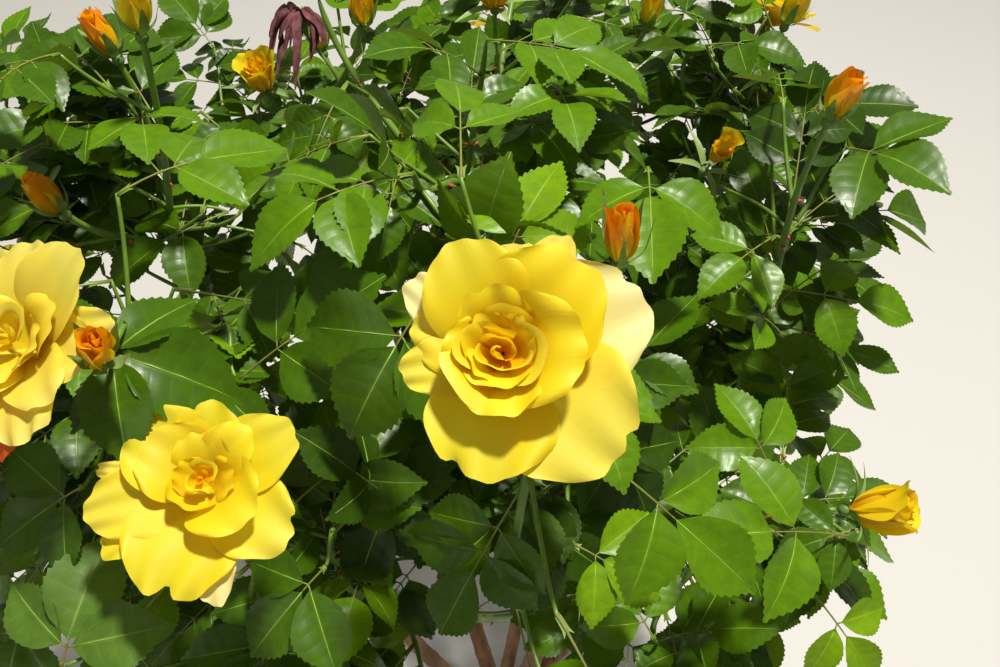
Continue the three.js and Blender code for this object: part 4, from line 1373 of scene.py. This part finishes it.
def sepal(flower, azimuth, long, wide, lean, sink):
    """A narrow pointed sheet, folded a little along its middle."""
    v, u = np.linspace(0, 1, SEPAL_ROWS)[:, None], np.linspace(-1, 1, SEPAL_COLUMNS)[None]
    steps = np.linspace(0, 1, SEPAL_STEPS)
    leans = np.radians(np.interp(steps, [0, 0.5, 1], lean))
    out_reach = np.cumsum(np.sin(leans)) / SEPAL_STEPS * long * 0.001
    up_reach = np.cumsum(np.cos(leans)) / SEPAL_STEPS * long * 0.001
    radial, side = spoke(flower, azimuth)
    half = wide * 0.0005 * (1 - v) ** 0.7 * (0.75 + 0.5 * np.sin(np.pi * v))
    base = flower["at"] - flower["axis"] * (sink + HIP_LONG * 0.1)
    out = (0.0035 + np.interp(v, steps, out_reach))[..., None] * radial
    rise = np.interp(v, steps, up_reach)[..., None] * flower["axis"]
    fold = (np.abs(u) * half * 0.35)[..., None] * flower["axis"]
    corners = base + out + rise + (u * half)[..., None] * side + fold
    calyx.add(corners.reshape(-1, 3), sheet_faces(SEPAL_ROWS, SEPAL_COLUMNS))


def sepals(flower, sink, long, lean, wide=6, spin=0.0):
    """A hip and its five sepals."""
    base = flower["at"] - flower["axis"] * (sink + HIP_LONG)
    line = [base + flower["axis"] * HIP_LONG * up for up, _ in HIP_PROFILE]
    calyx.add(*tube(line, [HIP_WIDE * out for _, out in HIP_PROFILE], 12))
    for i in range(5):
        sway = petal_draw.uniform(-8, 8, 4)
        sepal(flower, spin + i * 72 + sway[0], long * petal_draw.uniform(0.85, 1.1), wide,
              np.array(lean) + sway[1:], sink)


# %% [markdown]
# ## The large bloom
# The bloom in the middle of the photograph is wide open, with broad flat petals outside, folded ones
# inside, and a gold heart wound in a spiral. Each petal's azimuth, size and lean follow the photograph.

# %% Bloom a
# azimuth, length, width, lean at root, middle and rim, cup, roll, first and last tone, ruffle, notch
LARGE_BLOOM = [
    (62, 63, 30, (56, 76, 92), 0.09, 2, (7, 8)),
    (142, 57, 30, (60, 76, 92), 0.08, 2, (8.6, 9)),
    (21, 71, 60, (64, 82, 100), 0.09, 3, (8.2, 9), 0.0016, (0.5, 0.05)),
    (-40, 71, 68, (56, 80, 95), 0.16, 3, (6.8, 7.8), 0.0016, (0.3, 0.06)),
    (-98, 59, 60, (52, 72, 88), 0.14, 2, (6.2, 7.2), 0.0026, (-0.5, 0.06)),
    (80, 54, 36, (56, 72, 90), 0.08, 3, (6, 8)),
    (190, 49, 30, (52, 68, 82), 0.05, 3, (6, 7.6)),
    (160, 47, 36, (50, 64, 100), 0.04, 5, (6, 7.4)),
    (113, 60, 50, (48, 60, 90), 0.06, 4, (6.4, 7.2), 0.0006),
    (46, 61, 62, (50, 62, 84), 0.055, 3, (5.8, 7.2), 0.0014, (0.2, 0.04)),
    (2, 55, 56, (42, 34, 100), 0.034, 6, (5.6, 7)),
    (97, 45, 40, (42, 30, 66), 0.03, 4, (5.6, 6.8), 0.0014, (0.3, 0.05)),
    (185, 42, 38, (42, 26, 72), 0.028, 4, (5.6, 7)),
    (276, 45, 48, (44, 32, 62), 0.034, 3, (5.8, 7), 0.0012),
    (66, 39, 42, (38, 20, 50), 0.025, 3, (5.4, 6.6)),
    (30, 38, 36, (34, 16, 40), 0.022, 3, (5.2, 6.4)),
    (140, 38, 36, (34, 16, 46), 0.024, 3, (5.4, 6.6)),
    (272, 38, 44, (36, 16, 52), 0.026, 3, (5.8, 6.8)),
    (222, 36, 32, (34, 14, 36), 0.022, 3, (5.4, 6.6)),
]

# %% The heart of a flower
HEART_ROWS = 11


def heart(flower, count, radii, rise, tones, sink, twist=0.0, oval=(0.16, 0.0)):
    """The petals of a flower's heart: each wraps round the axis inside the last, starts behind one
    neighbour and ends before the other, is deep gold inside and paler at its rim, and the last is shut.
    The radii and the rims' rises are in mm, first and last. The oval says how much longer than round the
    heart is, and which way."""
    v, u = np.linspace(0, 1, HEART_ROWS)[:, None], np.linspace(-1, 1, PETAL_COLUMNS)[None]
    for i in range(count):
        inner = i / max(count - 1, 1)
        radius = lerp(*radii, inner**0.8) * 0.001
        top = lerp(*rise, inner) * 0.001 + petal_draw.uniform(-0.12, 0.12) * radius
        wrap = math.radians(lerp(72, 116, inner) * petal_draw.uniform(0.85, 1.1))
        phase = petal_draw.uniform(0, ANY_TURN)
        middle = twist + GOLDEN_DEGREES * i
        turn = math.radians(middle) + u * wrap
        drift = radius * lerp(0.2, 0.1, inner) * petal_draw.uniform(-0.4, 1)
        shut = 0.7 if i == count - 1 else 0.0
        belly = 0.2 + 0.8 * np.sin(np.pi / 2 * np.minimum(v / 0.75, 1)) - shut * v**3
        lip = 0.36 * np.maximum((v - 0.8) / 0.2, 0) ** 2 * (1 - inner)
        crumple = 1 + 0.10 * np.sin(2 * turn + phase) * v + 0.05 * np.sin(5 * turn + 2 * phase) * v**2
        length = 1 + oval[0] * np.cos(2 * (turn - math.radians(oval[1])))
        reach = radius * (belly + lip) * (1 + 0.2 * u) * crumple * length
        dip = (0.12 + 0.16 * np.sin(phase)) * np.sin(3 * u + phase) + 0.6 * np.abs(u) ** 2.4
        high = lerp(-0.3 * sink, top - dip * radius, v)
        out = np.cos(turn)[..., None] * flower["right"] + np.sin(turn)[..., None] * flower["above"]
        aside = drift * spoke(flower, middle)[0]
        corners = (flower["at"] + reach[..., None] * out + high[..., None] * flower["axis"]
                   + v[..., None] * aside)
        tone = lerp(*tones, v**1.6 + 0 * u) / LAST_TONE
        spots = np.stack([tone, 0.5 + 0.5 * u + 0 * v], -1)
        petals.add(corners.reshape(-1, 3), sheet_faces(HEART_ROWS, PETAL_COLUMNS), 0, spots.reshape(-1, 2))


# %% Bloom a in place
def shown_bloom(name, table, *heart_values):
    """One of the three large blooms, by its table of petals and the values of its heart."""
    flower, sink = flower_frame(place(*HEARTS[name]), FACING[name]), BLOOM_SINK[name]
    for row in table:
        petal(flower, sink, *row)
    count, radii, rise, tones, twist, oval = heart_values
    heart(flower, count, radii, rise, tones, sink, twist, oval)
    sepals(flower, sink, *OPEN_SEPALS)


# the bloom, its petals, and its heart's count, radii, rise, tones, twist and oval
shown_bloom("bloom_a", LARGE_BLOOM, 6, (17, 4.2), (10, 9), (4.2, 7.4), 215, (0.14, -15))

# %% [markdown]
# ## The looser blooms
# The blooms at the left are flatter and looser, with folded petals that stand up from the disc.

# %% Blooms b and c
LOOSE_BLOOM = [
    (280, 63, 26, (64, 82, 92), 0.08, 1, (8, 9)),
    (217, 61, 26, (64, 80, 92), 0.08, 1, (7, 7)),
    (173, 57, 16, (60, 76, 90), 0.08, 1, (7, 8)),
    (197, 62, 40, (58, 76, 86), 0.06, 3, (6, 7.6), 0.0014),
    (254, 62, 60, (58, 76, 92), 0.13, 3, (5.6, 7.2), 0.0022, (0.05, 0.1)),
    (325, 58, 46, (56, 74, 84), 0.06, 3, (6, 7.6), 0.0018, (0.5, 0.08)),
    (30, 56, 42, (54, 70, 84), 0.05, 3, (6, 7.4)),
    (140, 52, 50, (52, 66, 92), 0.045, 4, (5.8, 7.4), 0.0016),
    (88, 46, 40, (50, 60, 76), 0.045, 3, (6, 7), 0.001, (0.5, 0.1)),
    (48, 44, 32, (44, 46, 82), 0.026, 5, (5.6, 7.2)),
    (322, 46, 50, (46, 44, 78), 0.028, 4, (5.6, 7.2)),
    (146, 42, 46, (44, 56, 82), 0.032, 4, (6, 7.4), 0.0008),
    (96, 34, 32, (42, 44, 74), 0.028, 4, (6, 7.2)),
    (232, 33, 34, (46, 34, -12), 0.015, 1, (6.2, 7), 0.0008),
    (5, 30, 26, (40, 30, 44), 0.02, 3, (5.8, 6.8)),
    (160, 27, 22, (38, 26, 20), 0.018, 2, (5.6, 6.8)),
]
PALE_BLOOM = [
    (120, 54, 46, (56, 74, 88), 0.06, 3, (7.2, 8.2)),
    (200, 56, 50, (56, 74, 88), 0.08, 3, (7.2, 8.2), 0.002),
    (285, 54, 46, (56, 74, 90), 0.08, 3, (7.2, 8.2), 0.002),
    (-8, 46, 40, (56, 72, 86), 0.05, 2, (7.2, 8.2)),
    (10, 54, 26, (60, 78, 90), 0.05, 1, (7.2, 8.2)),
    (88, 54, 44, (52, 70, 92), 0.06, 3, (7.2, 8.2)),
    (54, 60, 46, (52, 66, 86), 0.045, 4, (7, 8.2)),
    (312, 46, 36, (50, 64, 80), 0.04, 3, (7, 8.2)),
    (240, 42, 36, (46, 52, 70), 0.035, 3, (7, 8.2)),
    (30, 38, 34, (44, 44, 80), 0.03, 5, (6.6, 7.6)),
    (150, 38, 34, (44, 44, 74), 0.03, 4, (6.6, 7.6)),
    (270, 34, 32, (40, 36, 60), 0.026, 3, (6.6, 7.6)),
    (350, 34, 30, (40, 30, 60), 0.026, 3, (6.6, 7.6)),
    (266, 60, 30, (60, 80, 112), 0.06, 6, (5, 0.5)),
]
shown_bloom("bloom_b", LOOSE_BLOOM, 4, (6.5, 1.625), (4.55, 4.5), (4.2, 7.2), 60, (0.24, 40))
shown_bloom("bloom_c", PALE_BLOOM, 4, (9.5, 2.375), (6.65, 4.5), (5.4, 7.8), 60, (0.24, 40))

# %% [markdown]
# ## Open blooms on the far sides, cups and buds
# Blooms that the photograph doesn't show are made by rule, from the golden angle. A cup is half open, and a
# bud is a few petals wound tight, red outside where the sun has caught them.

# %% Flowers by rule
FAR_SINK, CUP_SINK, BUD_SINK = 0.022, 0.020, 0.55  # a bud's is a share of its length
OPEN_PETALS, CUP_PETALS, BUD_PETALS = 17, 9, 6


def open_bloom(flower, twist):
    """A full bloom by rule: broad petals outside that lean far out, and each next one shorter and closer."""
    for i in range(OPEN_PETALS):
        inner = i / (OPEN_PETALS - 1)
        azimuth = twist + GOLDEN_DEGREES * i + petal_draw.uniform(-6, 6)
        long = lerp(58, 32, inner**0.8) * petal_draw.uniform(0.94, 1.06)
        lean = (lerp(58, 34, inner), lerp(76, 20, inner), lerp(90, 40, inner))
        notch = (petal_draw.uniform(-0.5, 0.5), 0.04)
        petal(flower, FAR_SINK, azimuth, long, wide=lerp(50, 30, inner), lean=lean,
              cup=lerp(0.09, 0.022, inner**0.6), roll=lerp(4, 2, inner),
              tones=(lerp(6.5, 4.6, inner), lerp(8, 5.8, inner)), ruffle=0.0013, notch=notch)
    heart(flower, count=8, radii=(13, 2.4), rise=(8, 6), tones=(4, 6.6), sink=FAR_SINK, twist=twist)
    sepals(flower, FAR_SINK, *OPEN_SEPALS)


def cup_bloom(flower, twist, orange=0.0):
    """A half-open flower: upright petals whose rims turn out."""
    for i in range(CUP_PETALS):
        inner = i / (CUP_PETALS - 1)
        lean = (lerp(44, 16, inner), lerp(16, 1, inner), lerp(46, 4, inner))
        tones = (lerp(6, 5, inner) - orange, lerp(6.8, 5.6, inner) - orange)
        petal(flower, CUP_SINK, twist + GOLDEN_DEGREES * i, long=lerp(44, 34, inner),
              wide=lerp(38, 24, inner), lean=lean, cup=lerp(0.02, 0.010, inner), roll=lerp(3, 1, inner),
              tones=tones)
    heart(flower, count=4, radii=(7, 1.8), rise=(19, 17), tones=(3.2, 6), sink=CUP_SINK, twist=twist)
    sepals(flower, CUP_SINK, long=40, lean=(50, 80, 96), wide=7, spin=twist)


def bud(flower, twist, red, sepal_long=26, sepal_wide=7.5, long=34):
    """A bud: petals wound tight round one another, the outermost with a red back."""
    sink = long * BUD_SINK * 0.001
    for i in range(BUD_PETALS):
        inner = i / (BUD_PETALS - 1)
        warm = 4.8 - 3.4 * red * (1 - inner) + petal_draw.uniform(-0.8, 0.8)
        lean = (lerp(44, 26, inner), lerp(7, 1, inner), lerp(petal_draw.uniform(-18, 6), -12, inner))
        petal(flower, sink, twist + GOLDEN_DEGREES * i, lerp(long, long * 0.92, inner),
              wide=lerp(27, 18, inner), lean=lean, cup=lerp(0.0115, 0.0065, inner),
              roll=lerp(1.8, 0.4, inner), tones=(warm + 1.4, warm), ruffle=0.0008, point=0.34, finish=1,
              edge=1.8 * (1 - inner))
    heart(flower, count=3, radii=(4.4, 1.4), rise=(long * 0.4, long * 0.43), tones=(2.4, 4.6 - 2 * red),
          sink=sink, twist=twist)
    sepals(flower, sink, sepal_long, lean=(62, 10, 22), wide=sepal_wide, spin=twist)


# %% The other flowers in place
BUD_RED = dict(bud_f=0.65, bud_g=0.25, bud_d=0.5, bud_h=0.3, bud_i=0.4, bud_j=0.1, bud_o=0.0, bud_p=0.0)
BUD_SEPALS = dict(bud_f=(42, 5))  # this bud's sepals stand free: length and width in mm
CUP_ORANGE = dict(cup_e=0.4, cup_n=0.4)
MOVED_FOOT, SMALL_FOOT = 0.022, 0.014  # how far below a flower's middle its stalk ends


def carry(middle, faces, sink, thick=0.0018):
    """A stalk from the nearest shoot to a flower's foot."""
    foot = middle - unit(faces) * sink
    _, fork, heading = nearest_shoot(foot)
    way = unit(foot - fork)
    stalk = bend(fork, unit(0.5 * heading + way), foot, unit(faces))
    add_shoot(stalk, thick, thick * 0.75, rings=18, sides=7, joints=2)


for index, (name, _, kind, at, faces) in enumerate(FLOWERS):
    if name in HEARTS:
        continue
    if name in MOVED:
        at = place(*MOVED[name])
        carry(at, faces, MOVED_FOOT)
    flower, twist = flower_frame(at, faces), 50 * index
    if kind == "bud":
        bud(flower, twist, BUD_RED.get(name, 0.3), *BUD_SEPALS.get(name, ()))
    elif kind == "halfOpen":
        cup_bloom(flower, twist, CUP_ORANGE.get(name, 0.0))
    else:
        open_bloom(flower, twist)

half_hidden = flower_frame(place(*HALF_HIDDEN), [0.3, -0.2, 0.9], 0.5)
cup_bloom(half_hidden, 40, 1.0)
carry(half_hidden["at"], half_hidden["axis"], SMALL_FOOT, 0.0014)

# %% [markdown]
# ## The withered flower
# Behind the bush's left nods one spent flower. Its petals have dried to narrow brown strands that arch out
# of its head and hang down.

# %% Spent petals
spent = Heap()
STRAND_ROWS, STRAND_COLUMNS = 16, 5
HANG = unit([-0.15, -0.6, -0.75])


def strand(run, wide, curl, spin):
    """A dried petal: a narrow crumpled sheet along a line, twisted and pointed."""
    v, u = np.linspace(0, 1, STRAND_ROWS), np.linspace(-1, 1, STRAND_COLUMNS)
    half = wide / 2 * (0.3 + 0.7 * np.sin(np.pi * v**0.8)) * (1 - 0.5 * v**3)
    corners = []
    for share, point, reach in zip(v, run.points(v), half):
        heading = run.heading(share)
        side = turned(across(np.array([1.0, 0.2, 0.1]), heading), heading, spin + curl * share)
        lift = reach * (0.8 * u**2 + 0.35 * np.sin(9 * share + 4 * u + spin))
        corners.append(point + np.outer(u * reach, side) + np.outer(lift, np.cross(heading, side)))
    spent.add(np.concatenate(corners), sheet_faces(STRAND_ROWS, STRAND_COLUMNS))


SPENT_STRANDS = 15
spent_middle = place(*SPENT_AT)
_, fork, heading = nearest_shoot(spent_middle - 0.05 * UP)
spent_stalk = bend(fork, heading, spent_middle - 0.012 * UP, UP)
add_shoot(spent_stalk, thick=0.0019, thin=0.0012, rings=20, sides=6, joints=2)
for i in range(SPENT_STRANDS):
    out = unit(compass(GOLDEN_ANGLE * i) * [1, 0.6, 1] - [0.25, 0.2, 0])
    long = petal_draw.uniform(0.018, 0.052)
    end = spent_middle + out * petal_draw.uniform(0.006, 0.026) + HANG * long
    arch = bend(spent_middle, unit(out + 0.7 * UP), end, unit(HANG - petal_draw.uniform(-0.2, 0.5) * out))
    wide, curl = petal_draw.uniform(0.005, 0.011), petal_draw.uniform(-2.5, 2.5)
    strand(arch, wide, curl, petal_draw.uniform(0, ANY_TURN))
sepals(flower_frame(spent_middle, [0.1, -0.3, 0.9]), sink=0.004, long=18, lean=(90, 130, 140))

# %% [markdown]
# ## Meshes
# Each kind of thing is made one mesh. Leaves, their ribs and their stalks stand for the masses of foliage,
# bark for the knuckle and canes, and green wood for the boughs.

# %% Make the meshes
foliage_nodes = [f"foliage_{name}" for name in MASSES]
for name, heap in leaf_heaps.items():
    heap.make(f"leaves_{name}", "foliage", LEAF_TINTS, foliage_nodes)
ribs.make("leaf_ribs", "foliage", [RIB], foliage_nodes)
stalks.make("leaf_stalks", "foliage", [LEAF_STALK], foliage_nodes)
twigs.make("twigs", "green_wood", [GREEN_SHOOT], foliage_nodes)
prickles.make("prickles", "prickles", [PRICKLE])
petals.make("petals", "petals", [PETAL, BUD_PETAL], foliage_nodes)
calyx.make("hips_and_sepals", "buds", [SEPAL], foliage_nodes)
spent.make("spent_flower", "petals", [WITHERED], foliage_nodes)

# %% [markdown]
# ## Sizes and the end
# The visual model is meant to fill the same box as the solids, so the solids' box is printed.

# %% Sizes
print("the solids reach", [round(value, 3) for value in [*cad_low, *cad_high]])
